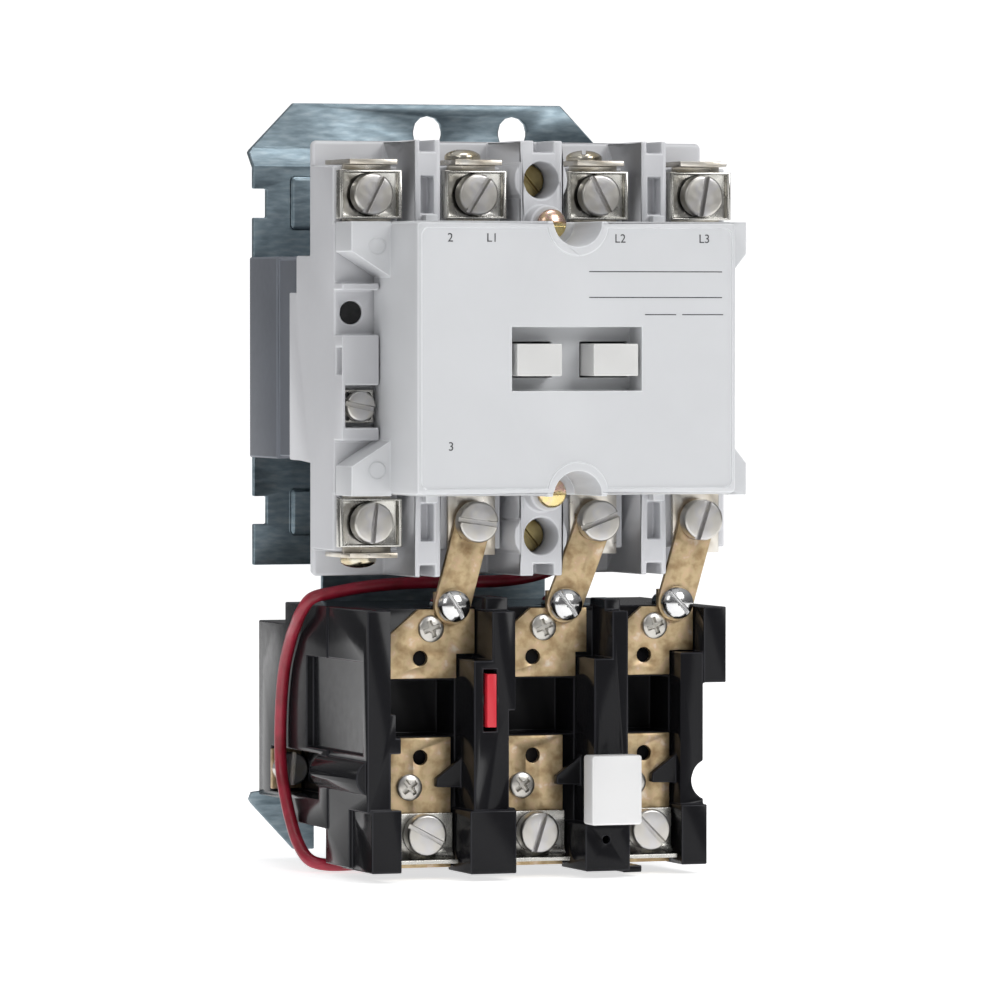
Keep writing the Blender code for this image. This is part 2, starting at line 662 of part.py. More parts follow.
def overload_base():
    """The black relay body: three heater pockets side by side, and a trip chamber open at the back."""
    half = RELAY_HALF_WIDTH
    front, floor, top = RELAY_FRONT_Y, RELAY_FLOOR_Y, RELAY_TOP_Z
    base = blocks("overload_base", ((-half, half), (-62.0, -29.0), (-86.2, top)))
    join(
        base,
        blocks("rear_block", ((-half, half), (-30.0, -7.6), (-81.0, -36.4))),
        blocks("pocket_floor", ((-47.6, 43.3), (floor, -60.0), (-95.0, top))),
        blocks("left_wall", ((-47.6, -41.5), (front, -76.0), (-80.6, top))),
        blocks("left_wall_step", ((-42.0, -40.2), (front, -76.0), (-62.6, -56.4))),
        blocks("left_wall_foot", ((-42.0, -38.8), (front, -76.0), (-66.2, -62.2))),
        blocks("left_block", ((-46.6, -38.8), (front - 0.5, -69.0), (-95.5, -80.0))),
        blocks("divider_1", ((-19.8, -9.0), (front, -76.0), (-81.2, -31.5))),
        blocks("divider_1_top", ((-14.8, -9.0), (-86.6, -76.0), (-33.0, -28.2))),
        blocks("divider_1_foot", ((-21.0, -8.9), (front - 0.7, -76.0), (-96.2, -80.6))),
        blocks("divider_2", ((11.8, 20.7), (front, -76.0), (-85.2, -31.8))),
        blocks("divider_2_top", ((16.6, 20.7), (-86.6, -76.0), (-33.0, -29.0))),
        blocks("divider_2_foot", ((9.0, 20.8), (front - 1.2, -76.0), (-96.2, -84.6))),
        blocks("small_foot", ((20.0, 25.2), (-90.0, -76.0), (-96.9, -95.2))),
        blocks("right_wall", ((37.2, 43.3), (-85.6, -76.0), (-81.2, -42.7))),
        blocks("right_shoulder", ((43.2, 49.2), (-86.2, -60.0), (-50.3, top - 0.4))),
        blocks("right_block", ((36.8, 43.6), (-87.5, -76.0), (-95.6, -80.7))),
        rods("driver_guide", "Y", [(-45.6, -72.2)], 4.6, (-91.0, -55.0), 20),
        outlined("barb_1", "Y", barb(-19.8), (-82.6, -80.1)),
        outlined("barb_2", "Y", barb(11.8), (-82.6, -80.1)),
        outlined("barb_3", "Y", barb(37.2), (-82.6, -80.1)),
    )
    pivot_y, pivot_z = TRIP_PIVOT
    gap_y, gap_z = (-80.0, -65.0), (-62.7, -48.9)
    pockets = [(x, gap_y, gap_z) for x in ((-38.7, -20.0), (-8.8, 11.6), (20.9, 37.0))]
    lever_x = (TRIP_BLADE_X[0] - 0.5, TRIP_BLADE_X[1] + 0.5)
    cut(
        base,
        blocks("heater_pockets", *pockets),
        blocks("divider_reliefs", *[
            ((x - 1.0, x + 4.8), (-94.0, floor - 0.02), (-43.6, -20.0)) for x in (-19.8, 11.8)
        ]),
        blocks("divider_1_side", ((-10.6, -5.0), (-94.0, floor - 0.02), (-80.0, -56.0))),
        blocks("side_recess", ((-50.0, -46.0), (-88.5, -46.0), (-66.6, -43.8))),
        blocks("side_screw_recess", ((-50.0, -40.2), (-55.4, -18.0), (-79.4, -68.0))),
        rods("wall_scallop", "Y", [(45.4, -74.6)], 5.2, (-95.0, -55.0), 32),
        blocks("trip_chamber", ((-38.0, 44.6), (-61.0, -5.0), (-76.4, -40.0))),
        rods("reset_bore", "Y", [RESET_AXIS], 3.3, (-96.0, -58.0)),
        blocks("lever_slot", (lever_x, (-96.0, -58.0), (-61.0, -45.8))),
        rods("lever_pin_hole", "X", [(pivot_y, pivot_z)], 1.25, (-19.0, -12.0), 16),
        rods("trip_bar_journals", "X", [TRIP_BAR_AXIS], 2.3, (-40.4, 46.8), 16),
        rods("screw_holes", "Y", strap_screw_places() + load_screw_places(), SHANK_R + 0.3, (-80, -66), 12),
        rods("side_screw_bore", "Y", [(-44.4, -73.6)], SHANK_R + 0.3, (-20, -11), 12),
        rods("front_hole", "Y", [(14.6, -88.4)], 1.0, (-96.0, -86.0), 12),
    )
    join(base, blocks("spring_bridge", ((8.0, 24.0), (-39.0, -36.0), (-77.0, -64.0))))
    return finish(base, "relay_moulding")


def barb(right):
    """The wedge on the left face of a divider, over the lower heater plate."""
    return [(right + 0.5, -67.8), (right + 0.5, -75.4), (right - 6.4, -75.2), (right - 6.4, -73.0)]


def strap_screw_places():
    return [(x + 7.9, -30.4) for x in RELAY_POLES.values()]


def load_screw_places():
    return [(x, LOAD_SCREW_Z) for x in RELAY_POLES.values()]


def heater_plates(pole, x):
    """The stamped plates over and under a heater pocket. Each has a screw hole and a heater hole."""
    waist = {"1": 9.5, "2": 11.4, "3": 6.9}[pole]
    wing = 13.2 if pole == "3" else 14.3
    upper = [
        (-8.6, -48.4), (-8.6, -38.0), (-0.5, -31.3), (3.8, -31.3), (3.8, -27.0), (12.0, -27.0),
        (12.0, -31.3), (wing, -31.3), (wing, -42.4), (waist, -42.4), (waist, -48.4),
    ]
    upper = [(x + a, b) for a, b in upper]
    holes = [circle(x, -43.4, 1.9), circle(x + 7.9, -30.4, SHANK_R + 0.2)]
    finish(outlined(f"heater_plate_upper_{pole}", "Y", upper, HEATER_PLATE_Y, holes), "tinned_brass")
    edge = x + min(waist, 8.0)
    lower = [(x - 8.6, -63.0), (edge, -63.0), (edge, -95.2), (x - 8.6, -95.2)]
    holes = [circle(x, -67.9, 1.9), circle(x, LOAD_SCREW_Z, SHANK_R + 0.2)]
    finish(outlined(f"heater_plate_lower_{pole}", "Y", lower, HEATER_PLATE_Y, holes), "tinned_brass")


def circle(x, z, radius, steps=16):
    turn = [2 * math.pi * step / steps for step in range(steps)]
    return [(x + radius * math.cos(a), z + radius * math.sin(a)) for a in turn]


def strap(pole, contact_x, relay_x):
    """A slanted link from a contactor load terminal to the heater plate below it, with round ends."""
    top = Vector((contact_x, below_z(POLE_SCREW_Z)))
    foot = Vector((relay_x + 7.9, -30.4))
    run = foot - top
    slant = math.atan2(run.y, run.x)
    outline = []
    for centre, start in ((top, slant + math.pi / 2), (foot, slant - math.pi / 2)):
        for a in half_turn(8):
            rim = centre + STRAP_R * Vector((math.cos(start + a), math.sin(start + a)))
            outline.append(tuple(rim))
    holes = [circle(*top, SHANK_R + 0.2), circle(*foot, SHANK_R + 0.2)]
    finish(outlined(f"strap_{pole}", "Y", outline, (-81.5, -80.1), holes), "tinned_brass")


def relay_poles():
    for pole, x in RELAY_POLES.items():
        heater_plates(pole, x)
        strap(pole, POLES[pole], x)
    for pole, place, angle in zip(RELAY_POLES, strap_screw_places(), (-58, -52, -47)):
        dome_screw(f"strap_screw_{pole}", place, angle, -81.8, 2.4, 4.2, 12.0, "bright_steel")
    for pole, place, angle in zip(RELAY_POLES, load_screw_places(), (-28, 72, -45)):
        terminal_screw(f"motor_screw_{pole}", place, angle, seat_y=-81.6, front_y=-85.4)


def trip_parts():
    """The reset button, the red rocking lever and the trip bar that the lever's tail moves."""
    button = blocks("reset_button", ((6.4, 19.5), (-105.0, -98.4), (-84.0, -66.9)))
    soften(button, 0.6, 2)
    join(
        button,
        rods("reset_shaft", "Y", [RESET_AXIS], 3.0, (-99.0, -59.0)),
        rods("reset_collar", "Y", [RESET_AXIS], 4.6, (-60.7, -58.7)),
    )
    finish(button, "white_button", smooth=True)
    spring("reset_spring", RESET_AXIS, 3.6, (-58.4, -39.3))

    pivot_y, pivot_z = TRIP_PIVOT
    tail = [
        (-93.2, -60.0), (-93.2, -46.9), (-86.0, -46.9), (-86.0, -52.4), (-68.5, -52.4), (-68.5, -54.2),
        (-86.0, -54.2), (-86.0, -60.0),
    ]
    lever = outlined("trip_lever", "X", tail, TRIP_BLADE_X)
    pin = rods("lever_pins", "X", [TRIP_PIVOT], 1.0, (-18.7, -12.3), 16)
    join(lever, pin)
    finish(set_origin(lever, (sum(TRIP_BLADE_X) / 2, pivot_y, pivot_z)), "red_lever")

    bar_y, bar_z = TRIP_BAR_AXIS
    bar = rods("trip_bar", "X", [TRIP_BAR_AXIS], 2.0, (-40.0, 46.4), 16)
    arm = blocks("trip_arm", (TRIP_BLADE_X, (-69.5, bar_y), (bar_z - 0.9, bar_z + 0.6)))
    paddles = blocks("trip_paddles", *[
        (around(x, 2.0), around(bar_y, 1.2), (bar_z + 0.5, bar_z + 7.0)) for x in RELAY_POLES.values()
    ])
    join(bar, arm, paddles)
    finish(set_origin(bar, (0, bar_y, bar_z)), "white_button")


def set_origin(obj, place):
    """Moves an object's origin to a point, in millimetres, and leaves its shape where it is."""
    offset = Matrix.Translation(Vector(place) * MM)
    obj.data.transform(offset.inverted())
    obj.matrix_world = offset @ obj.matrix_world
    return obj


def covered_screws():
    for level, z in zip(("upper", "lower"), upper_and_lower(COVER_SCREW_Z)):
        angle = 4 if level == "upper" else 50
        dome_screw(f"cover_screw_{level}", (0, z), angle, -93.0, 1.8, 3.7, 10.0, "yellow_zinc")
    terminal_screw("coil_screw", (-46.6, 19.0), -12, seat_y=-82.0, front_y=-84.8, head_r=3.8)
    terminal_screw("nc_contact_screw", (-44.4, -73.6), 85, seat_y=-20.6, front_y=-24.6, head_r=4.2)
    plate = blocks("nc_contact_plate", ((-48.6, -40.6), (-20.3, -19.0), (-78.8, -68.6)))
    cut(plate, rods("nc_plate_hole", "Y", [(-44.4, -73.6)], SHANK_R + 0.3, (-24, -16), 12))
    finish(plate, "nickel")


def coil_lead():
    """The red lead from the coil, down the relay's left side to the trip contact's terminal below."""
    route = [
        (24.0, -53.5, 4.6), (24.0, -53.8, -6.0), (21.5, -54.6, -16.0), (14.0, -55.8, -22.6),
        (2.0, -56.4, -25.2), (-12.0, -56.4, -25.4), (-24.0, -56.0, -25.6), (-35.0, -55.4, -26.4),
        (-43.6, -54.6, -27.8), (-48.8, -53.0, -29.2), (-50.6, -49.8, -32.8), (-50.5, -45.6, -36.0),
        (-50.1, -40.4, -39.6), (-49.9, -34.6, -47.1), (-49.9, -31.9, -56.0), (-49.9, -31.0, -65.7),
        (-49.9, -31.8, -73.4), (-49.9, -35.0, -79.6),
        (-49.9, -39.8, -86.0), (-49.7, -45.0, -91.2), (-48.4, -49.6, -94.8), (-44.6, -52.0, -96.0),
        (-38.0, -52.6, -96.0), (-32.0, -52.8, -95.2), (-28.2, -52.9, -92.4), (-27.4, -53.0, -86.6),
    ]
    return finish(tube("coil_lead", route, LEAD_R), "red_insulation", smooth=True)


def main():
    clear_scene()
    new_collection(PARTS)
    new_collection(CUTTERS)
    mounting_plate()
    magnet_base()
    coil()
    contactor_housing()
    front_cover()
    contactor_poles()
    carrier()
    overload_base()
    relay_poles()
    trip_parts()
    covered_screws()
    coil_lead()


main()
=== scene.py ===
# %% [markdown]
# # A magnetic motor starter, dressed for the camera
# The starter's moving solids are already made and packed. This lesson loads them as a fixed frame, gives
# each one a clean mesh with rounded edges and a finish, and adds the small pieces that the frame leaves out.
# Nothing here changes a size: every place below is read from the frame or given in its millimetres.

# %% Load the fixed frame
import json
import math
import bmesh
import bpy
from mathutils import Matrix, Vector


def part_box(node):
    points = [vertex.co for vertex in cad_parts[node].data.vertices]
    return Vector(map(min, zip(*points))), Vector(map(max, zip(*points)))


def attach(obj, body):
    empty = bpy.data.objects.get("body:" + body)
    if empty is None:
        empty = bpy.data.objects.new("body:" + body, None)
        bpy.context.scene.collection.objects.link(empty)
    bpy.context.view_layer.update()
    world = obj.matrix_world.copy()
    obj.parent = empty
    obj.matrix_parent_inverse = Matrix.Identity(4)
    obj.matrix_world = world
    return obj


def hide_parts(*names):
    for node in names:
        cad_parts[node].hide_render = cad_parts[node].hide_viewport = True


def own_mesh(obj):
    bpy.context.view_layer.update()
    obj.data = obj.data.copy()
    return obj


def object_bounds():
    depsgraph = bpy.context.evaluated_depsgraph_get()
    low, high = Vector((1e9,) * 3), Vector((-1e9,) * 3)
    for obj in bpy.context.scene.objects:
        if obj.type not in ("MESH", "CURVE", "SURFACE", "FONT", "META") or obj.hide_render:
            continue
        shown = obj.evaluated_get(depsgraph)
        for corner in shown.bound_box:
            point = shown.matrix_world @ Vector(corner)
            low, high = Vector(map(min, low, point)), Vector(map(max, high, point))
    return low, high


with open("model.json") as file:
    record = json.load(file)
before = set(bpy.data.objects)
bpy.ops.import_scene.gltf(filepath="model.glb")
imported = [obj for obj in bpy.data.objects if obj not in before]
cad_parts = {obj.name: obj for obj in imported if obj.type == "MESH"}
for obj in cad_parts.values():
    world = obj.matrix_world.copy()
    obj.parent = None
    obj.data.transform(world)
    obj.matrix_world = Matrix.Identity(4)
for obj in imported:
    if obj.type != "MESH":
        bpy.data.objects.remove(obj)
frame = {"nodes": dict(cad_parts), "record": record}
cad_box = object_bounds()
MM = 0.001
BODY_OF = {node: body for body, nodes in frame["record"]["behaviour"]["bodies"].items() for node in nodes}


def in_mm(box):
    return [[round(v / MM, 1) for v in corner] for corner in box]


print("frame:", len(frame["nodes"]), "nodes; box", in_mm(cad_box))

# %% [markdown]
# ## Camera
# A long lens from well back, a little to the left, keeps the upright edges upright and shows the left side.
# The sensor's width and the distance set how large the starter stands in the frame.

# %% Place the camera
eye = bpy.data.cameras.new("eye")
eye.lens = 262.0
eye.sensor_width = 36.0
eye.clip_start = 0.05
eye.clip_end = 20.0
camera = bpy.data.objects.new("eye", eye)
camera.location = (-0.6255, -1.7746, 0.0402)
camera.rotation_euler = (math.radians(88.583), 0.0, math.radians(-20.0))
bpy.context.scene.collection.objects.link(camera)
bpy.context.scene.camera = camera
print("camera", tuple(round(c, 3) for c in camera.location))

# %% [markdown]
# ## Light and floor
# Grey moulded plastic shows its shape by soft gradients, so the lamps are large sheets of light. The room
# itself is a pale grey, brighter overhead, because bare metal looks like whatever surrounds it. What the
# camera sees behind the starter is plain white.

# %% Light the room
def lamp(name, place, aim, size, watts):
    light = bpy.data.lights.new(name, "AREA")
    light.shape = "RECTANGLE"
    light.size, light.size_y = size
    light.energy = watts
    obj = bpy.data.objects.new(name, light)
    obj.location = place
    obj.rotation_euler = (Vector(aim) - Vector(place)).to_track_quat("-Z", "Y").to_euler()
    bpy.context.scene.collection.objects.link(obj)
    return obj


MIDDLE = (0.0, -0.05, 0.0)
lamp("key", (0.8, -1.7, 1.0), MIDDLE, (0.9, 0.9), 15)
lamp("fill", (-1.3, -1.3, 0.8), MIDDLE, (0.8, 0.8), 3.8)
lamp("overhead", (0.1, -0.3, 1.5), MIDDLE, (0.8, 0.6), 6.5)
lamp("left_rear", (-1.5, 1.1, 0.9), MIDDLE, (0.6, 0.8), 1.8)

world = bpy.data.worlds.new("studio")
bpy.context.scene.world = world
world.use_nodes = True
air = world.node_tree
air_out = air.nodes["Background"]
seen = air.nodes.new("ShaderNodeBackground")
seen.inputs["Color"].default_value = (1.0, 1.0, 1.0, 1.0)
seen.inputs["Strength"].default_value = 1.1
heading = air.nodes.new("ShaderNodeTexCoord")
height = air.nodes.new("ShaderNodeSeparateXYZ")
air.links.new(heading.outputs["Generated"], height.inputs[0])
shade = air.nodes.new("ShaderNodeValToRGB")
UNDERFOOT, LOW_HORIZON, ABOVE_HORIZON = 0.62, 0.18, 0.36
low_stop, high_stop = shade.color_ramp.elements
low_stop.color = (UNDERFOOT, UNDERFOOT, UNDERFOOT * 1.02, 1.0)
high_stop.color = (0.95, 0.95, 0.96, 1.0)
for spot, grey in ((0.5, LOW_HORIZON), (0.62, ABOVE_HORIZON)):
    shade.color_ramp.elements.new(spot).color = (grey, grey, grey * 1.02, 1.0)
level = air.nodes.new("ShaderNodeMapRange")
level.inputs["From Min"].default_value = -1.0
air.links.new(height.outputs["Z"], level.inputs["Value"])
air.links.new(level.outputs["Result"], shade.inputs["Fac"])
air.links.new(shade.outputs["Color"], air_out.inputs["Color"])
air_out.inputs["Strength"].default_value = 0.55
direct = air.nodes.new("ShaderNodeLightPath")
either = air.nodes.new("ShaderNodeMixShader")
air.links.new(direct.outputs["Is Camera Ray"], either.inputs["Fac"])
air.links.new(air_out.outputs["Background"], either.inputs[1])
air.links.new(seen.outputs["Background"], either.inputs[2])
air.links.new(either.outputs["Shader"], air.nodes["World Output"].inputs["Surface"])
bpy.context.scene.view_settings.view_transform = "Standard"

# %% [markdown]
# ## Finishes
# Every finish starts as the same Principled shader. Colour that varies comes from noise run through a
# colour ramp, and fine relief comes from noise run through a bump node. Object coordinates are in metres, so
# a noise scale of 1000 makes grains of about a millimetre.

# %% Tools for making finishes
def finish(name, colour, roughness, metallic=0.0, **sockets):
    made = bpy.data.materials.new(name)
    made.use_nodes = True
    made.diffuse_color = (*colour, 1.0)
    shader = made.node_tree.nodes["Principled BSDF"]
    shader.inputs["Base Color"].default_value = (*colour, 1.0)
    shader.inputs["Roughness"].default_value = roughness
    shader.inputs["Metallic"].default_value = metallic
    for socket, value in sockets.items():
        shader.inputs[socket.replace("_", " ")].default_value = value
    return made


def grain(made, scale, stretch=(1, 1, 1), detail=3.0, distortion=0.0):
    """Noise over the piece, drawn out along an axis where its stretch is small."""
    nodes, links = made.node_tree.nodes, made.node_tree.links
    place = nodes.new("ShaderNodeTexCoord")
    turn = nodes.new("ShaderNodeMapping")
    turn.inputs["Scale"].default_value = stretch
    noise = nodes.new("ShaderNodeTexNoise")
    noise.inputs["Scale"].default_value = scale
    noise.inputs["Detail"].default_value = detail
    noise.inputs["Distortion"].default_value = distortion
    links.new(place.outputs["Object"], turn.inputs["Vector"])
    links.new(turn.outputs["Vector"], noise.inputs["Vector"])
    return noise.outputs["Fac"]


def shades(made, source, *stops):
    """A colour ramp: each stop is its place and its colour."""
    ramp = made.node_tree.nodes.new("ShaderNodeValToRGB")
    elements = ramp.color_ramp.elements
    while len(elements) < len(stops):
        elements.new(0.5)
    for element, (spot, colour) in zip(elements, stops):
        element.position = spot
        element.color = (*colour, 1.0)
    made.node_tree.links.new(source, ramp.inputs["Fac"])
    return ramp.outputs["Color"]


def feed(made, socket, source):
    made.node_tree.links.new(source, made.node_tree.nodes["Principled BSDF"].inputs[socket])


def between(made, source, low, high):
    """The source's 0.3 to 0.7 carried to the range low to high."""
    level = made.node_tree.nodes.new("ShaderNodeMapRange")
    for socket, value in zip(("From Min", "From Max", "To Min", "To Max"), (0.3, 0.7, low, high)):
        level.inputs[socket].default_value = value
    made.node_tree.links.new(source, level.inputs["Value"])
    return level.outputs["Result"]


def relief(made, source, depth, strength=0.5):
    bump = made.node_tree.nodes.new("ShaderNodeBump")
    bump.inputs["Strength"].default_value = strength
    bump.inputs["Distance"].default_value = depth * MM
    shader = made.node_tree.nodes["Principled BSDF"]
    if shader.inputs["Normal"].is_linked:
        made.node_tree.links.new(shader.inputs["Normal"].links[0].from_socket, bump.inputs["Normal"])
    made.node_tree.links.new(source, bump.inputs["Height"])
    feed(made, "Normal", bump.outputs["Normal"])


def tinted(colour, by):
    return tuple(min(1.0, channel * by) for channel in colour)


# %% [markdown]
# ### Moulded plastic
# The housing and cover are a hard grey thermoset, the magnet base and the relay darker ones. Such plastic is
# almost even in colour, with a faint cloud from the powder it was pressed from and a very fine eggshell
# texture from the mould. Its edges are rounded, and their finish is lighter: painted sheen along the edges,
# with some wear. So each plastic comes as a pair: one finish for faces and one for edges.

# %% Make the plastics
def plastic(name, colour, roughness, edge_wear_and_sheen=1.12, cloud=0.03, texture=0.012, index=1.5):
    pair = []
    # The second finish of the pair is lighter: painted sheen on the bevelled edges, with some wear.
    for part, by in (("", 1.0), ("_edge_wear_and_sheen", edge_wear_and_sheen)):
        base = tinted(colour, by)
        made = finish(name + part, base, roughness, IOR=index)
        clouds = grain(made, 45, detail=4)
        feed(made, "Base Color", shades(
            made, clouds, (0.32, tinted(base, 1 - cloud)), (0.5, base), (0.7, tinted(base, 1 + cloud)),
        ))
        feed(made, "Roughness", between(made, grain(made, 420), roughness - 0.02, roughness + 0.03))
        relief(made, grain(made, 2600, detail=1), texture, 0.35)
        pair.append(made)
    return pair


# The edge factor sets how much lighter each plastic's bevels are: painted sheen, with some wear.
PLASTICS = {
    "grey_moulding": plastic("grey_moulding", (0.58, 0.585, 0.605), 0.46, cloud=0.02),
    "cover_moulding": plastic("cover_moulding", (0.575, 0.585, 0.60), 0.42, edge_wear_and_sheen=1.2, cloud=0.015),
    "magnet_moulding": plastic("magnet_moulding", (0.115, 0.125, 0.145), 0.5, edge_wear_and_sheen=1.5, cloud=0.08),
    "carrier_moulding": plastic("carrier_moulding", (0.60, 0.60, 0.59), 0.4),
    "relay_moulding": plastic(
        "relay_moulding", (0.0095, 0.0095, 0.011), 0.17, edge_wear_and_sheen=2.6, cloud=0.04, texture=0.001, index=1.24,
    ),
    "white_button": plastic("white_button", (0.70, 0.70, 0.70), 0.36, cloud=0.01),
    "red_lever": plastic("red_lever", (0.58, 0.02, 0.035), 0.34, edge_wear_and_sheen=1.2),
}
print("plastics:", sorted(PLASTICS))

# %% [markdown]
# ### Metals
# The panel plate is zinc-plated sheet: blue-grey, drawn out in fine level lines by the rolling mill. The
# straps and heater plates are tinned brass whose tin has aged, so tan, cream and rose lie in blotches. Screw
# heads were turned on a lathe, which leaves rings about the screw's own axis, and a nickel skin tints them.

# %% Make the metals
def sheet_metal(name, colour, roughness, metallic, blotches, stretch, depth, size=130, swirl=0.6):
    made = finish(name, colour, roughness, metallic)
    feed(made, "Base Color", shades(made, grain(made, size, stretch, 9, swirl), *blotches))
    feed(made, "Roughness", between(made, grain(made, 500, stretch, 3), roughness - 0.04, roughness + 0.08))
    relief(made, grain(made, 1500, stretch, 2), depth, 0.4)
    return made


def turned_metal(name, colour, roughness, tints, ring_scale=1200.0, depth=0.004):
    """Rings about the piece's own Y axis, over a soft change of tint."""
    made = finish(name, colour, roughness, 1.0)
    feed(made, "Base Color", shades(made, grain(made, 180, detail=2), *tints))
    nodes, links = made.node_tree.nodes, made.node_tree.links
    place = nodes.new("ShaderNodeTexCoord")
    rings = nodes.new("ShaderNodeTexWave")
    rings.wave_type = "RINGS"
    rings.rings_direction = "Y"
    rings.inputs["Scale"].default_value = ring_scale
    rings.inputs["Distortion"].default_value = 0.6
    links.new(place.outputs["Object"], rings.inputs["Vector"])
    relief(made, rings.outputs["Fac"], depth, 0.35)
    feed(made, "Roughness", between(made, grain(made, 500), roughness - 0.03, roughness + 0.06))
    return made


zinc = sheet_metal(
    "zinc_plate", (0.27, 0.33, 0.37), 0.44, 1.0,
    ((0.32, (0.17, 0.22, 0.25)), (0.5, (0.22, 0.28, 0.315)), (0.70, (0.29, 0.35, 0.385))),
    (0.3, 1, 1.2), 0.004, 800, 0.1,
)
tinned = sheet_metal(
    "tinned_brass", (0.50, 0.38, 0.22), 0.40, 0.7,
    (
        (0.25, (0.28, 0.18, 0.09)), (0.42, (0.43, 0.31, 0.17)), (0.52, (0.53, 0.41, 0.24)),
        (0.60, (0.56, 0.40, 0.25)), (0.78, (0.74, 0.69, 0.58)),
    ),
    (1, 1, 1), 0.02, 300, 0.1,
)
tin_plate = sheet_metal(
    "tin_plate", (0.62, 0.57, 0.49), 0.30, 0.95,
    ((0.30, (0.52, 0.46, 0.37)), (0.5, (0.64, 0.60, 0.53)), (0.72, (0.72, 0.70, 0.66))), (1, 1, 1), 0.015,
)
copper = sheet_metal(
    "contact_copper", (0.60, 0.34, 0.22), 0.34, 1.0,
    ((0.3, (0.46, 0.24, 0.14)), (0.5, (0.62, 0.36, 0.24)), (0.7, (0.76, 0.54, 0.40))), (1, 1, 1), 0.03,
)
core_steel = sheet_metal(
    "core_steel", (0.30, 0.30, 0.31), 0.38, 1.0,
    ((0.35, (0.22, 0.22, 0.23)), (0.65, (0.38, 0.38, 0.39))), (0.2, 0.2, 14), 0.08,
)
nickel = turned_metal(
    "nickel", (0.57, 0.555, 0.515), 0.31,
    (
        (0.30, (0.52, 0.50, 0.46)), (0.46, (0.57, 0.55, 0.51)),
        (0.60, (0.56, 0.55, 0.55)), (0.75, (0.63, 0.61, 0.56)),
    ),
)
chrome = turned_metal(
    "bright_steel", (0.66, 0.66, 0.66), 0.14,
    ((0.35, (0.60, 0.60, 0.61)), (0.65, (0.70, 0.70, 0.69))), 900.0, 0.003,
)
gold_zinc = turned_metal(
    "yellow_zinc", (0.70, 0.55, 0.28), 0.24,
    (
        (0.30, (0.66, 0.50, 0.18)), (0.47, (0.74, 0.62, 0.30)),
        (0.58, (0.78, 0.50, 0.44)), (0.68, (0.58, 0.62, 0.38)),
    ),
)
lip_brass = turned_metal(
    "lip_brass", (0.62, 0.55, 0.40), 0.22, ((0.32, (0.52, 0.42, 0.24)), (0.6, (0.70, 0.67, 0.58))),
)
olive_brass = turned_metal(
    "olive_brass", (0.30, 0.24, 0.10), 0.36, ((0.35, (0.20, 0.15, 0.06)), (0.65, (0.42, 0.34, 0.16))),
)
spring_wire = sheet_metal(
    "spring_steel", (0.45, 0.45, 0.46), 0.28, 1.0,
    ((0.35, (0.36, 0.36, 0.37)), (0.65, (0.54, 0.54, 0.55))), (1, 1, 1), 0.01,
)
cup_nickel = sheet_metal(
    "cup_nickel", (0.56, 0.55, 0.51), 0.24, 1.0,
    ((0.3, (0.50, 0.49, 0.45)), (0.5, (0.56, 0.55, 0.51)), (0.7, (0.62, 0.61, 0.58))), (1, 1, 0.4), 0.003,
)
coil_wrap = sheet_metal(
    "coil_wrap", (0.10, 0.08, 0.05), 0.55, 0.0,
    ((0.35, (0.06, 0.045, 0.03)), (0.65, (0.15, 0.12, 0.08))), (0.5, 6, 0.5), 0.15,
)
print("metals:", [m.name for m in (zinc, tinned, copper, nickel, chrome, gold_zinc)])

# %% [markdown]
# ## The mouldings and the sheets
# A imported solid has knife edges and triangles. A copy is welded, its flat triangles are dissolved into whole
# faces, any hollow-cornered face is split, and a Bevel modifier rounds every corner. The modifier gives its
# new strips the second material, the lighter edge finish: painted sheen, with some wear. The solid itself
# stays, hidden behind the copy.

# %% Tools for the copies
def link(name, mesh, *materials):
    obj = bpy.data.objects.new(name, mesh)
    bpy.context.scene.collection.objects.link(obj)
    for made in materials:
        obj.data.materials.append(made)
    return obj


def as_object(name, bm, *materials):
    bmesh.ops.recalc_face_normals(bm, faces=bm.faces)
    mesh = bpy.data.meshes.new(name)
    bm.to_mesh(mesh)
    bm.free()
    return link(name, mesh, *materials)


def clean_copy(node, name, *materials):
    bm = bmesh.new()
    bm.from_mesh(frame["nodes"][node].data)
    bmesh.ops.remove_doubles(bm, verts=bm.verts, dist=0.002 * MM)
    bmesh.ops.dissolve_limit(bm, angle_limit=math.radians(1.0), verts=bm.verts, edges=bm.edges)
    bmesh.ops.connect_verts_concave(bm, faces=bm.faces)
    for face in bm.faces:
        face.material_index = 0
    return as_object(name, bm, *materials)


def carve(obj, cutter):
    """Cuts obj with the cutter, once, and throws the cutter away."""
    step = obj.modifiers.new("carve", "BOOLEAN")
    step.operation = "DIFFERENCE"
    step.solver = "EXACT"
    step.object = cutter
    bpy.context.view_layer.update()
    shaped = bpy.data.meshes.new_from_object(obj.evaluated_get(bpy.context.evaluated_depsgraph_get()))
    obj.modifiers.clear()
    obj.data = shaped
    bpy.data.objects.remove(cutter, do_unlink=True)
    return obj


def round_edges(obj, width, segments=2, angle=32.0):
    """Soft corners. Where there is a second material, the strips take it: a lighter finish, painted sheen with
    some wear.
    """
    obj.data.shade_smooth()
    bevel = obj.modifiers.new("rounded", "BEVEL")
    bevel.width = width * MM
    bevel.segments = segments
    bevel.limit_method = "ANGLE"
    bevel.angle_limit = math.radians(angle)
    bevel.use_clamp_overlap = False
    bevel.harden_normals = True
    # The bevel strips take the lighter second finish: painted sheen, with some wear.
    if len(obj.data.materials) > 1:
        bevel.material = 1
    return obj


def stand_for(obj, slot, *nodes):
    """obj is shown in place of these nodes and moves with their body."""
    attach(obj, BODY_OF[nodes[0]])
    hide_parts(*nodes)
    return obj


def add_to(obj, body="frame"):
    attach(obj, body)
    return obj


# %% [markdown]
# ### Plastic pieces
# The housing, magnet base, carrier, relay, button and lever only need rounded edges. The real lever has a
# smaller radius than the housing, because it is only a blade.

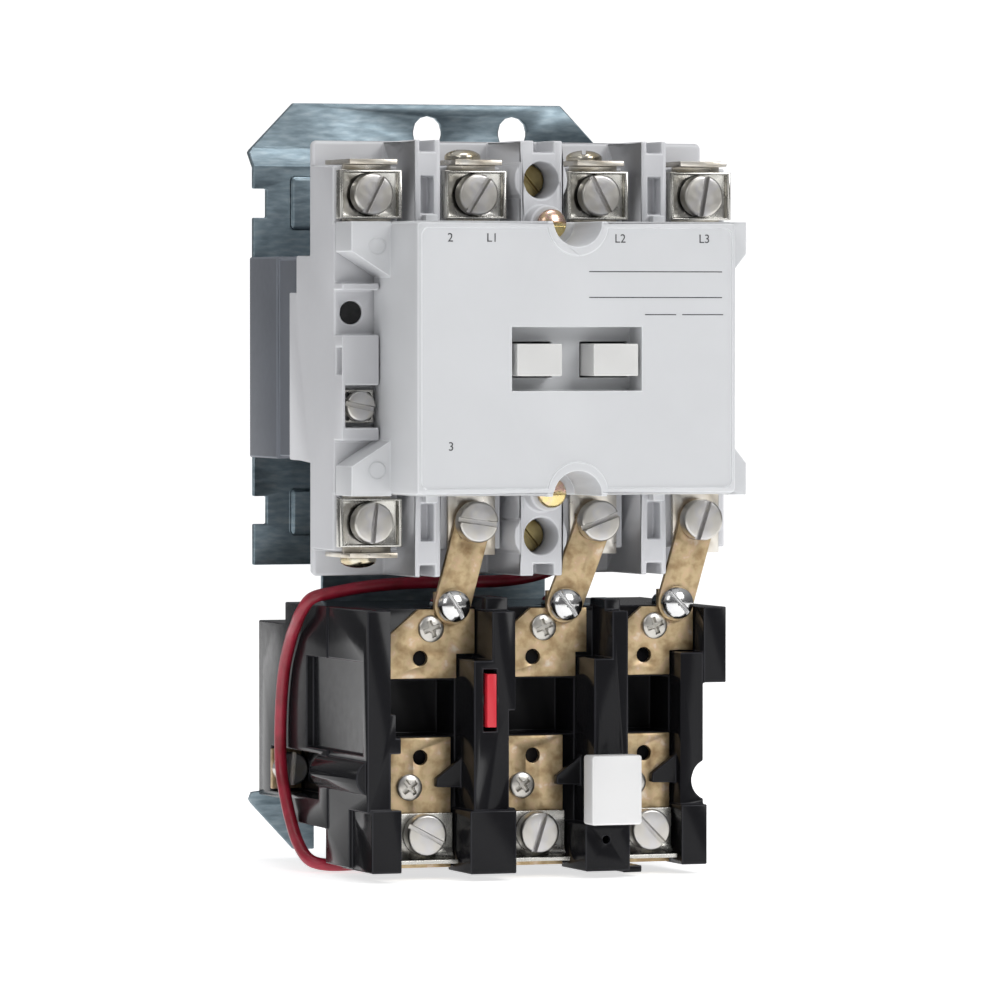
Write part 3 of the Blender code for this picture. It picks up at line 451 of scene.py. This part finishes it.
# %% Round the plastic pieces
MOULDED = {
    "contactor_housing": ("grey_moulding", 0.45),
    "magnet_base": ("magnet_moulding", 0.5),
    "contact_carrier": ("carrier_moulding", 0.3),
    "overload_base": ("relay_moulding", 0.35),
    "reset_button": ("white_button", 0.25),
    "trip_lever": ("red_lever", 0.15),
    "trip_bar": ("relay_moulding", 0.2),
}
for node, (slot, width) in MOULDED.items():
    piece = clean_copy(node, node + "_moulded", *PLASTICS[slot])
    stand_for(round_edges(piece, width), slot, node)
    print(node, "rounded by", width, "mm;", len(piece.data.polygons), "faces")

# %% [markdown]
# ### Front cover
# The cover's face lies slightly below a smooth rim that runs all round it and around both half-round wells.
# A shallow pan is cut from the copy, inside an outline that leaves the rim.

# %% Cut the cover's face
COVER_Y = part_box("front_cover")[0].y / MM
FACE_Y = COVER_Y + 0.5
WELL_Z = {"upper": 63.8, "lower": -2.4}
RIM_R = 7.9
PAN_X, PAN_Z = (-40.4, 40.4), (-1.0, 62.7)
PAN_CORNER_R = 2


def arc(x, z, radius, start, end, steps=24):
    turn = [math.radians(start + (end - start) * step / steps) for step in range(steps + 1)]
    return [(x + radius * math.cos(a), z + radius * math.sin(a)) for a in turn]


def prism(name, outline, y_span, *materials):
    """An outline in X and Z, in millimetres, made solid between two depths."""
    bm = bmesh.new()
    rings = [[bm.verts.new((x * MM, y * MM, z * MM)) for x, z in outline] for y in y_span]
    bm.faces.new(rings[0])
    bm.faces.new(rings[1][::-1])
    count = len(outline)
    for i in range(count):
        j = (i + 1) % count
        bm.faces.new((rings[0][j], rings[0][i], rings[1][i], rings[1][j]))
    return as_object(name, bm, *materials)


def corner_arc(x, z, radius, start):
    return arc(x, z, radius, start, start + 90, 6)


def pan_outline():
    (left, right), (low, high) = PAN_X, PAN_Z
    upper = math.degrees(math.asin((high - WELL_Z["upper"]) / RIM_R))
    lower = math.degrees(math.asin((low - WELL_Z["lower"]) / RIM_R))
    return [
        *corner_arc(right - PAN_CORNER_R, high - PAN_CORNER_R, PAN_CORNER_R, 0),
        *arc(0, WELL_Z["upper"], RIM_R, 360 + upper, 180 - upper),
        *corner_arc(left + PAN_CORNER_R, high - PAN_CORNER_R, PAN_CORNER_R, 90),
        *corner_arc(left + PAN_CORNER_R, low + PAN_CORNER_R, PAN_CORNER_R, 180),
        *arc(0, WELL_Z["lower"], RIM_R, 180 - lower, lower),
        *corner_arc(right - PAN_CORNER_R, low + PAN_CORNER_R, PAN_CORNER_R, 270),
    ]


cover = clean_copy("front_cover", "front_cover_moulded")
carve(cover, prism("pan", pan_outline(), (COVER_Y - 1.0, FACE_Y)))
for made in PLASTICS["cover_moulding"]:
    cover.data.materials.append(made)
stand_for(round_edges(cover, 0.22), "cover_moulding", "front_cover")
print("cover face at", round(FACE_Y, 2), "mm, inside a rim", round(FACE_Y - COVER_Y, 2), "mm high")

# %% [markdown]
# ### Sheet metal
# The plate, straps, heater plates, terminal strips and pressure plates are stamped, so their edges are only
# slightly broken. They share one material on faces and edges.

# %% Break the sheet metal's edges
SHEETS = {
    "mounting_plate": ("zinc_plate", zinc, 0.35),
    "nc_contact_plate": ("tinned_brass", tinned, 0.15),
}
for pole in ("1", "2", "3"):
    SHEETS[f"strap_{pole}"] = ("tinned_brass", tinned, 0.18)
    SHEETS[f"heater_plate_upper_{pole}"] = ("tinned_brass", tinned, 0.18)
    SHEETS[f"heater_plate_lower_{pole}"] = ("tinned_brass", tinned, 0.18)
for pole in ("aux", "1", "2", "3"):
    SHEETS[f"line_contact_{pole}"] = ("contact_copper", tin_plate, 0.15)
    SHEETS[f"load_contact_{pole}"] = ("contact_copper", tin_plate, 0.15)
    SHEETS[f"pressure_plate_line_{pole}"] = ("nickel", cup_nickel, 0.2)
SHEETS["pressure_plate_load_aux"] = ("nickel", cup_nickel, 0.2)
for node, (slot, made, width) in SHEETS.items():
    piece = clean_copy(node, node + "_sheet", made)
    stand_for(round_edges(piece, width), slot, node)
print("sheets:", len(SHEETS))

# %% [markdown]
# ## Screws
# A screw head is a turned shape, so it is spun from a profile about its own axis. Its slot is sawn across by
# a Boolean, and the edges are broken with a narrow bevel. Each screw is left at its own angle, as a fitter
# leaves them.

# %% Tools for screws
TURNS = 64
SHANK_R = 2.0
CHEESE_SHOULDER = 0.7
DOME_RIM = 0.7
CROSS_REACH = 2.1


def spun(name, place, profile, *materials):
    """A solid of revolution about Y. The profile lists (radius, y) from the front backwards."""
    bm = bmesh.new()
    line = [bm.verts.new((radius * MM, y * MM, 0.0)) for radius, y in profile]
    for first, second in zip(line, line[1:]):
        bm.edges.new((first, second))
    bmesh.ops.spin(
        bm, geom=bm.verts[:] + bm.edges[:], cent=(0, 0, 0), axis=(0, 1, 0), dvec=(0, 0, 0),
        angle=math.tau, steps=TURNS, use_duplicate=False,
    )
    bmesh.ops.remove_doubles(bm, verts=bm.verts, dist=0.005 * MM)
    obj = as_object(name, bm, *materials)
    obj.location = (place[0] * MM, 0.0, place[1] * MM)
    return obj


def bar(name, length, width, y_span, angle, place):
    """A driver slot's shape, turned about the screw's axis."""
    outline = [(-length, -width / 2), (length, -width / 2), (length, width / 2), (-length, width / 2)]
    c, s = math.cos(math.radians(angle)), math.sin(math.radians(angle))
    made = prism(name, [(x * c - z * s, x * s + z * c) for x, z in outline], y_span)
    made.location = (place[0] * MM, 0.0, place[1] * MM)
    return made


def flat_head(radius, front, seat, tail):
    """A cheese head: a flat face, a rounded shoulder and an upright side."""
    soft = CHEESE_SHOULDER
    shoulder = [(radius - soft + soft * math.sin(a), front + soft - soft * math.cos(a)) for a in quarter(6)]
    face = [(0, front), (radius * 0.5, front - 0.05)]
    return [*face, *shoulder, (radius, seat), *shank(seat, tail)]


def shank(seat, tail):
    return [(SHANK_R, seat), (SHANK_R, tail), (0, tail)]


def dome_head(radius, rise, seat, tail):
    rim = seat - DOME_RIM
    cap = [(radius * math.sin(a), rim - rise * math.cos(a)) for a in quarter(12)]
    return [*cap, (radius, seat), *shank(seat, tail)]


def quarter(steps):
    return [math.pi / 2 * step / steps for step in range(steps + 1)]


def slotted(name, place, profile, angle, width, depth, made, cross=False):
    screw = spun(name, place, profile)
    front = min(y for _, y in profile)
    reach = CROSS_REACH if cross else 2 * max(radius for radius, _ in profile)
    for turn in ((angle, angle + 90) if cross else (angle,)):
        carve(screw, bar(name + "_driver", reach, width, (front - 2, front + depth), turn, place))
    screw.data.materials.clear()
    screw.data.materials.append(made)
    return round_edges(screw, 0.12, 2, 40)


def seat_of(node):
    """A screw node's axis, head radius, front and tail, all in millimetres."""
    low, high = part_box(node)
    middle = (low + high) / 2 / MM
    return (middle.x, middle.z), (high.x - low.x) / 2 / MM, low.y / MM, high.y / MM


# %% [markdown]
# ### Terminal screws
# Twelve nickel cheese heads hold the wires and straps. They are alike but for their size and angle.

# %% Make the terminal screws
ANGLES = {
    "line_screw_aux": 63, "line_screw_1": 58, "line_screw_2": -62, "line_screw_3": 80,
    "load_screw_aux": 85, "load_screw_1": -8, "load_screw_2": 20, "load_screw_3": 72,
    "motor_screw_1": -28, "motor_screw_2": 72, "motor_screw_3": -45,
    "coil_screw": -12,
}
HEAD_HEIGHT, COIL_HEAD_HEIGHT = 3.8, 2.0
for node, angle in ANGLES.items():
    place, radius, front, tail = seat_of(node)
    seat = front + (COIL_HEAD_HEIGHT if node == "coil_screw" else HEAD_HEIGHT)
    screw = slotted(node + "_turned", place, flat_head(radius, front, seat, tail), angle, 1.15, 1.5, nickel)
    stand_for(screw, "nickel", node)
print("terminal screws:", len(ANGLES))

# %% [markdown]
# ### Strap screws and cover screws
# These have domed heads. The strap screws are bright steel. The cover screws are plated in yellow zinc,
# whose thin film shows gold, rose and green at once.

# %% Make the domed screws
DOMES = {
    "strap_screw_1": (-58, chrome, "bright_steel", 2.4),
    "strap_screw_2": (-52, chrome, "bright_steel", 2.4),
    "strap_screw_3": (-47, chrome, "bright_steel", 2.4),
    "cover_screw_upper": (-4, gold_zinc, "yellow_zinc", 2.0),
    "cover_screw_lower": (3, gold_zinc, "yellow_zinc", 2.0),
}
for node, (angle, made, slot, rise) in DOMES.items():
    place, radius, front, tail = seat_of(node)
    profile = dome_head(radius, rise, front + rise + DOME_RIM, tail)
    screw = slotted(node + "_turned", place, profile, angle, 1.0, 1.3, made)
    stand_for(screw, slot, node)
    print(node, "radius", round(radius, 1), "front", round(front, 1))

# %% Keep the recessed contact screw
frame["nodes"]["nc_contact_screw"].data.materials.clear()
frame["nodes"]["nc_contact_screw"].data.materials.append(nickel)

# %% [markdown]
# ### Small screws that the frame leaves out
# Six cross-recess screws hold the heater plates, two dark screws sit deep in the column bores, and domed
# screws stand on end through the terminal lips, to clamp wires from above or below.

# %% Make the small screws
RELAY_POLES = {"1": -29.6, "2": 0.0, "3": 29.6}
HEATER_SCREW = dome_head(3.3, 0.8, -79.9, -79.0)
COLUMN_SCREW = flat_head(4.2, -76.5, -74.5, -73.0)
for pole, x in RELAY_POLES.items():
    for level, place, angle in (("upper", (x + 2.6, -36.1), 20), ("lower", (x - 3.1, -75.2), 38)):
        name = f"heater_screw_{level}_{pole}"
        add_to(slotted(name, place, HEATER_SCREW, angle, 0.95, 1.3, nickel, cross=True))
for level, z in (("upper", 74.7), ("lower", -13.3)):
    made = slotted(f"column_screw_{level}", (0.0, z), COLUMN_SCREW, -50, 1.1, 1.2, olive_brass)
    add_to(made)
print("small screws made for", len(RELAY_POLES), "poles")

# %% Stand the lip screws on end
def on_end(name, place, seat_z, rise, upwards, angle):
    """A domed screw with its axis upright. Place is its X and Y."""
    screw = slotted(name, (0.0, 0.0), dome_head(4.5, rise, 0.0, 2.4), angle, 1.0, 1.1, lip_brass)
    tip = Matrix.Rotation(math.radians(-90 if upwards else 90), 4, "X")
    screw.matrix_world = Matrix.Translation(Vector((place[0], place[1], seat_z)) * MM) @ tip
    return add_to(screw)


LIP_Y, LIP_RISE = -73.0, 1.9
LIP_TOP_Z, LIP_FOOT_Z = 79.9, -18.5
for number, x in enumerate((-16.1, 16.1)):
    on_end(f"lip_screw_{number}", (x, LIP_Y), LIP_TOP_Z, LIP_RISE, True, 20 + 50 * number)
on_end("lip_screw_lower", (-43.5, LIP_Y), LIP_FOOT_Z, LIP_RISE, False, 30)
print("lip screws stand at", LIP_TOP_Z, "and", LIP_FOOT_Z)

# %% [markdown]
# ## Clamp plates
# Each motor wire is clamped under a nickel plate whose lower edge is rolled towards the front, so that
# strands stay in: a path in side view is given a thickness and drawn out sideways. The coil's wire has a
# small square plate with a hole near each corner.

# %% Bend the clamp plates
def bent_sheet(name, x_span, path, thickness, *materials):
    """A strip that follows a path in Y and Z, thickened evenly to both sides."""
    points = [Vector(p) for p in path]
    sides = [[], []]
    for i, point in enumerate(points):
        along = (points[min(i + 1, len(points) - 1)] - points[max(i - 1, 0)]).normalized()
        across = Vector((-along.y, along.x)) * thickness / 2
        sides[0].append(point + across)
        sides[1].append(point - across)
    outline = sides[0] + sides[1][::-1]
    bm = bmesh.new()
    rings = [[bm.verts.new((x * MM, y * MM, z * MM)) for y, z in outline] for x in x_span]
    half = len(points)
    for ring in rings:
        for i in range(half - 1):
            bm.faces.new((ring[i], ring[i + 1], ring[-i - 2], ring[-i - 1]))
    for i in range(len(outline)):
        j = (i + 1) % len(outline)
        bm.faces.new((rings[0][i], rings[0][j], rings[1][j], rings[1][i]))
    return as_object(name, bm, *materials)


PLATE_Y, ROLL_R, ROLL_Z = -80.7, 3.4, -90.0
ROLL = [(PLATE_Y - ROLL_R * (1 - math.cos(a)), ROLL_Z - ROLL_R * math.sin(a)) for a in quarter(8)]
PLATE_PATH = [(PLATE_Y, -81.6), (PLATE_Y, -86.0), *ROLL, (-85.4, -93.4)]
for pole, x in RELAY_POLES.items():
    right = 6.9 if pole == "3" else 8.0
    plate = bent_sheet(f"wire_plate_{pole}", (x - 8.5, x + right), PLATE_PATH, 1.0, cup_nickel)
    add_to(round_edges(plate, 0.2))
COIL_PLATE = [(-50.6, 14.9), (-42.4, 14.9), (-42.4, 23.1), (-50.6, 23.1)]
coil_plate = prism("coil_wire_plate", COIL_PLATE, (-81.6, -80.4))
for x in (-49.2, -43.8):
    for z in (16.3, 21.7):
        carve(coil_plate, prism("hole", arc(x, z, 0.7, 0, 330, 11), (-83.0, -79.0)))
coil_plate.data.materials.clear()
coil_plate.data.materials.append(cup_nickel)
add_to(round_edges(coil_plate, 0.2))
print("wire plates reach forward to", round(min(y for y, _ in ROLL), 1), "mm")

# %% [markdown]
# ## Rings on the wings
# The mould's ejector pins leave a faint round mark on each wing of the cover. A ring a tenth of a millimetre
# proud shows as one in low light.

# %% Press the pin marks
WING_Y = -92.4
for number, (x, z) in enumerate(((-45.2, 58.3), (-45.2, 3.3))):
    mark = prism(f"pin_mark_{number}", arc(x, z, 2.3, 0, 350, 35), (WING_Y - 0.12, WING_Y + 0.3))
    carve(mark, prism("inside", arc(x, z, 1.9, 0, 350, 35), (WING_Y - 1.0, WING_Y + 1.0)))
    mark.data.materials.clear()
    mark.data.materials.append(PLASTICS["cover_moulding"][0])
    add_to(round_edges(mark, 0.05, 1))
print("pin marks at", WING_Y, "mm")

# %% [markdown]
# ## Painted shade in the holes
# The hole in the left recess is blind, and the lever rocks in a round hole behind its slot. Both get painted
# shade: a near-black plug deep in the first hole, and a thin near-black disc at the mouth of the second, with
# the slot left open.

# %% Put painted shade in the holes
# Near-black finish: painted shade for the inside of the holes.
PAINTED_HOLE_SHADE = finish("painted_hole_shade", (0.004, 0.004, 0.005), 0.7)
feed(PAINTED_HOLE_SHADE, "Roughness", between(PAINTED_HOLE_SHADE, grain(PAINTED_HOLE_SHADE, 900), 0.62, 0.78))
feed(PAINTED_HOLE_SHADE, "Base Color", shades(
    PAINTED_HOLE_SHADE, grain(PAINTED_HOLE_SHADE, 300), (0.3, (0.002, 0.002, 0.002)), (0.7, (0.008, 0.008, 0.009)),
))
# A near-black plug: painted shade deep in the blind hole.
shade_plug = prism("recess_shade_plug", arc(-47.4, 42.0, 2.8, 0, 350, 35), (-78.6, -77.8), PAINTED_HOLE_SHADE)
add_to(round_edges(shade_plug, 0.1, 1))
LEVER_X, LEVER_Z = -15.6, -53.3
# A thin near-black disc: painted shade in the lever's round hole.
shade_disc = prism("lever_hole_shade", arc(LEVER_X, LEVER_Z, 2.2, 0, 350, 35), (-92.06, -91.8))
near, far = LEVER_X - 1.75, LEVER_X + 1.75
gap = [(near, LEVER_Z - 4), (far, LEVER_Z - 4), (far, LEVER_Z + 4), (near, LEVER_Z + 4)]
carve(shade_disc, prism("gap", gap, (-94.0, -90.0)))
shade_disc.data.materials.clear()
shade_disc.data.materials.append(PAINTED_HOLE_SHADE)
add_to(shade_disc)
print("blind hole closed at -78 mm")

# %% [markdown]
# ## Terminal marks
# The wiring numbers are printed in black on the cover. A text object becomes a mesh, so that it has a body
# of its own: ink a few hundredths of a millimetre thick.

# %% Print the marks
INK = finish("black_ink", (0.035, 0.035, 0.04), 0.5)
feed(INK, "Base Color", shades(
    INK, grain(INK, 1800), (0.35, (0.02, 0.02, 0.024)), (0.7, (0.07, 0.07, 0.075)),
))
INK_DEPTH = 0.03


def printed(name, words, x, z, cap_height):
    text = bpy.data.curves.new(name, "FONT")
    text.body = words
    text.align_x, text.align_y = "CENTER", "CENTER"
    text.size = cap_height / 0.7 * MM
    text.extrude = INK_DEPTH * MM
    guide = bpy.data.objects.new(name, text)
    bpy.context.scene.collection.objects.link(guide)
    upright = Matrix.Rotation(math.radians(90), 4, "X")
    guide.matrix_world = Matrix.Translation(Vector((x, FACE_Y - INK_DEPTH / 2, z)) * MM) @ upright
    bpy.context.view_layer.update()
    mesh = bpy.data.meshes.new_from_object(guide.evaluated_get(bpy.context.evaluated_depsgraph_get()))
    mesh.transform(guide.matrix_world)
    bpy.data.objects.remove(guide, do_unlink=True)
    bm = bmesh.new()
    bm.from_mesh(mesh)
    bpy.data.meshes.remove(mesh)
    bmesh.ops.remove_doubles(bm, verts=bm.verts, dist=0.0005 * MM)
    return add_to(as_object(name, bm, INK))


MARKS = (("2", -33.0, 60.1), ("L1", -22.2, 60.1), ("L2", 11.1, 60.0), ("L3", 33.2, 60.0), ("3", -32.8, 9.4))
for words, x, z in MARKS:
    printed("mark_" + words, words, x, z, 2.1)
RULES = ((3.0, 37.9, 52.0), (3.0, 37.9, 45.7), (17.6, 25.8, 41.5), (27.4, 38.2, 41.5))
for number, (left, right, z) in enumerate(RULES):
    outline = [(left, z - 0.12), (right, z - 0.12), (right, z + 0.12), (left, z + 0.12)]
    rule = prism(f"label_rule_{number}", outline, (FACE_Y - INK_DEPTH, FACE_Y + INK_DEPTH), INK)
    add_to(rule)
print("marks:", [m[0] for m in MARKS])

# %% [markdown]
# ## The coil's lead
# One insulated wire leaves the coil, comes out at the left, hangs down the relay's side and turns in under
# it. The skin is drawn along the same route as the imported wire, but with more sides, and a print of small
# white dashes follows it, so the mesh carries a map of how far along and how far round each face is.

# %% Draw a wire along a route
def catmull_rom(points, per_span):
    given = [Vector(p) for p in points]
    given = [2 * given[0] - given[1], *given, 2 * given[-1] - given[-2]]
    fine = []
    for a, b, c, d in zip(given, given[1:], given[2:], given[3:]):
        for step in range(per_span):
            t = step / per_span
            bend, swing = 2 * a - 5 * b + 4 * c - d, 3 * b - a - 3 * c + d
            fine.append(0.5 * (2 * b + (c - a) * t + bend * t * t + swing * t**3))
    return [*fine, given[-2]]


def wire(name, route, radius, sides, *materials):
    """A closed tube along the route, with u round it and v along it in metres."""
    bm = bmesh.new()
    uv = bm.loops.layers.uv.new("along")
    rings, walked, side = [], [0.0], Vector((0, 0, 1))
    for i, point in enumerate(route):
        ahead = (route[min(i + 1, len(route) - 1)] - route[max(i - 1, 0)]).normalized()
        side = (side - ahead * side.dot(ahead))
        side = side.normalized() if side.length > 0.05 else ahead.orthogonal().normalized()
        third = ahead.cross(side)
        turn = [math.tau * k / sides for k in range(sides)]
        rim = [point + radius * (side * math.cos(a) + third * math.sin(a)) for a in turn]
        rings.append([bm.verts.new(spot * MM) for spot in rim])
        if i:
            walked.append(walked[-1] + (point - route[i - 1]).length * MM)
    for i in range(len(rings) - 1):
        for k in range(sides):
            m = (k + 1) % sides
            face = bm.faces.new((rings[i][k], rings[i][m], rings[i + 1][m], rings[i + 1][k]))
            corners = ((k, i), (k + 1, i), (k + 1, i + 1), (k, i + 1))
            for loop, (round_at, along_at) in zip(face.loops, corners):
                loop[uv].uv = (round_at / sides, walked[along_at])
    bm.faces.new(rings[0][::-1])
    bm.faces.new(rings[-1])
    obj = as_object(name, bm, *materials)
    obj.data.shade_smooth()
    return obj, walked[-1]


# %% Lay the coil's lead
LEAD_ROUTE = (
    (24.0, -53.5, 4.6), (24.0, -53.8, -6.0), (21.5, -54.6, -16.0), (14.0, -55.8, -22.6),
    (2.0, -56.4, -25.2), (-12.0, -56.4, -25.4), (-24.0, -56.0, -25.6), (-35.0, -55.4, -26.4),
    (-43.6, -54.6, -27.8), (-48.8, -53.0, -29.2), (-50.6, -49.8, -32.8), (-50.5, -45.6, -36.0),
    (-50.1, -40.4, -39.6), (-49.9, -34.6, -47.1), (-49.9, -31.9, -56.0), (-49.9, -31.0, -65.7),
    (-49.9, -31.8, -73.4), (-49.9, -35.0, -79.6), (-49.9, -39.8, -86.0), (-49.7, -45.0, -91.2),
    (-48.4, -49.6, -94.8), (-44.6, -52.0, -96.0), (-38.0, -52.6, -96.0), (-32.0, -52.8, -95.2),
    (-28.2, -52.9, -92.4), (-27.4, -53.0, -86.6),
)
LEAD_R = 1.55
red_skin = finish("red_insulation", (0.30, 0.012, 0.03), 0.36, Coat_Weight=0.2, Coat_Roughness=0.25)
nodes, links = red_skin.node_tree.nodes, red_skin.node_tree.links
where = nodes.new("ShaderNodeUVMap")
where.uv_map = "along"
letters = nodes.new("ShaderNodeMapping")
letters.inputs["Scale"].default_value = (9.0, 900.0, 1.0)
ink = nodes.new("ShaderNodeTexNoise")
ink.inputs["Scale"].default_value = 1.0
ink.inputs["Detail"].default_value = 1.0
links.new(where.outputs["UV"], letters.inputs["Vector"])
links.new(letters.outputs["Vector"], ink.inputs["Vector"])
print_mark = shades(red_skin, ink.outputs["Fac"], (0.60, (0, 0, 0)), (0.63, (1, 1, 1)))
parts = nodes.new("ShaderNodeSeparateXYZ")
links.new(where.outputs["UV"], parts.inputs[0])
band = shades(
    red_skin, parts.outputs["X"], (0.20, (0, 0, 0)), (0.22, (1, 1, 1)), (0.30, (1, 1, 1)), (0.32, (0, 0, 0)),
)
both_marks = nodes.new("ShaderNodeMath")
both_marks.operation = "MULTIPLY"
links.new(print_mark, both_marks.inputs[0])
links.new(band, both_marks.inputs[1])
skin = nodes.new("ShaderNodeMix")
skin.data_type = "RGBA"
links.new(both_marks.outputs["Value"], skin.inputs["Factor"])
reds = shades(red_skin, grain(red_skin, 160), (0.35, (0.24, 0.008, 0.02)), (0.65, (0.40, 0.018, 0.045)))
links.new(reds, skin.inputs["A"])
skin.inputs["B"].default_value = (0.75, 0.62, 0.62, 1.0)
feed(red_skin, "Base Color", skin.outputs["Result"])
relief(red_skin, grain(red_skin, 700), 0.02, 0.3)
lead, length = wire("coil_lead_skin", catmull_rom(LEAD_ROUTE, 8), LEAD_R, 18, red_skin)
stand_for(lead, "red_insulation", "coil_lead")
print("lead length", round(length / MM), "mm")

# %% [markdown]
# ## Springs
# A coil spring is a wire on a helix with its end turns closed up. The frame moves the carrier and the reset
# button, and each spring rides with its node's body.

# %% Wind the springs
def helix(node, wire_r, turns, per_turn=20):
    low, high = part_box(node)
    low, high = low / MM, high / MM
    middle = (low + high) / 2
    radius = (high.x - low.x) / 2 - wire_r
    start, end = low.y + wire_r, high.y - wire_r
    count = round(turns * per_turn)
    points = []
    for step in range(count + 1):
        t = step / count
        eased = t - 0.6 * math.sin(math.tau * t) / math.tau
        a = math.tau * turns * t
        y = start + (end - start) * eased
        points.append(Vector((middle.x + radius * math.cos(a), y, middle.z + radius * math.sin(a))))
    spring, _ = wire(node + "_coiled", points, wire_r, 10, spring_wire)
    return stand_for(spring, "spring_steel", node)


kickout = helix("kickout_spring", 0.35, 9)
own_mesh(kickout)
reset = helix("reset_spring", 0.45, 7)
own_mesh(reset)
print("springs:", kickout.name, reset.name)

# %% [markdown]
# ## Pieces inside
# The coil, its laminated cores and the bridge contacts hardly show, so the solids stay as they are and only
# take their finishes.

# %% Finish the inner pieces
INNER = {
    "coil": coil_wrap, "armature": core_steel, "fixed_core": core_steel,
    "moving_contact_aux": copper, "moving_contact_1": copper,
    "moving_contact_2": copper, "moving_contact_3": copper,
}
for node, made in INNER.items():
    frame["nodes"][node].data.materials.clear()
    frame["nodes"][node].data.materials.append(made)
print("inner pieces:", sorted(INNER))

# %% [markdown]
# ## Floor
# A pale round floor lies just under the starter.

# %% Lay the floor
floor_finish = finish("floor_paper", (0.90, 0.90, 0.90), 0.9)
feed(floor_finish, "Base Color", shades(
    floor_finish, grain(floor_finish, 30), (0.3, (0.89, 0.89, 0.89)), (0.7, (0.92, 0.92, 0.92)),
))
floor_finish.node_tree.nodes["Principled BSDF"].inputs["Emission Color"].default_value = (1, 1, 1, 1)
floor_finish.node_tree.nodes["Principled BSDF"].inputs["Emission Strength"].default_value = 0.68
bm = bmesh.new()
FLOOR_R = 1.3
FLOOR_Z = cad_box[0][2] - 0.4 * MM
bmesh.ops.create_circle(bm, cap_ends=True, segments=96, radius=FLOOR_R)
bmesh.ops.translate(bm, vec=(0, 0, FLOOR_Z), verts=bm.verts)
floor = as_object("floor", bm, floor_finish)
print("floor at", round(FLOOR_Z / MM, 1), "mm")
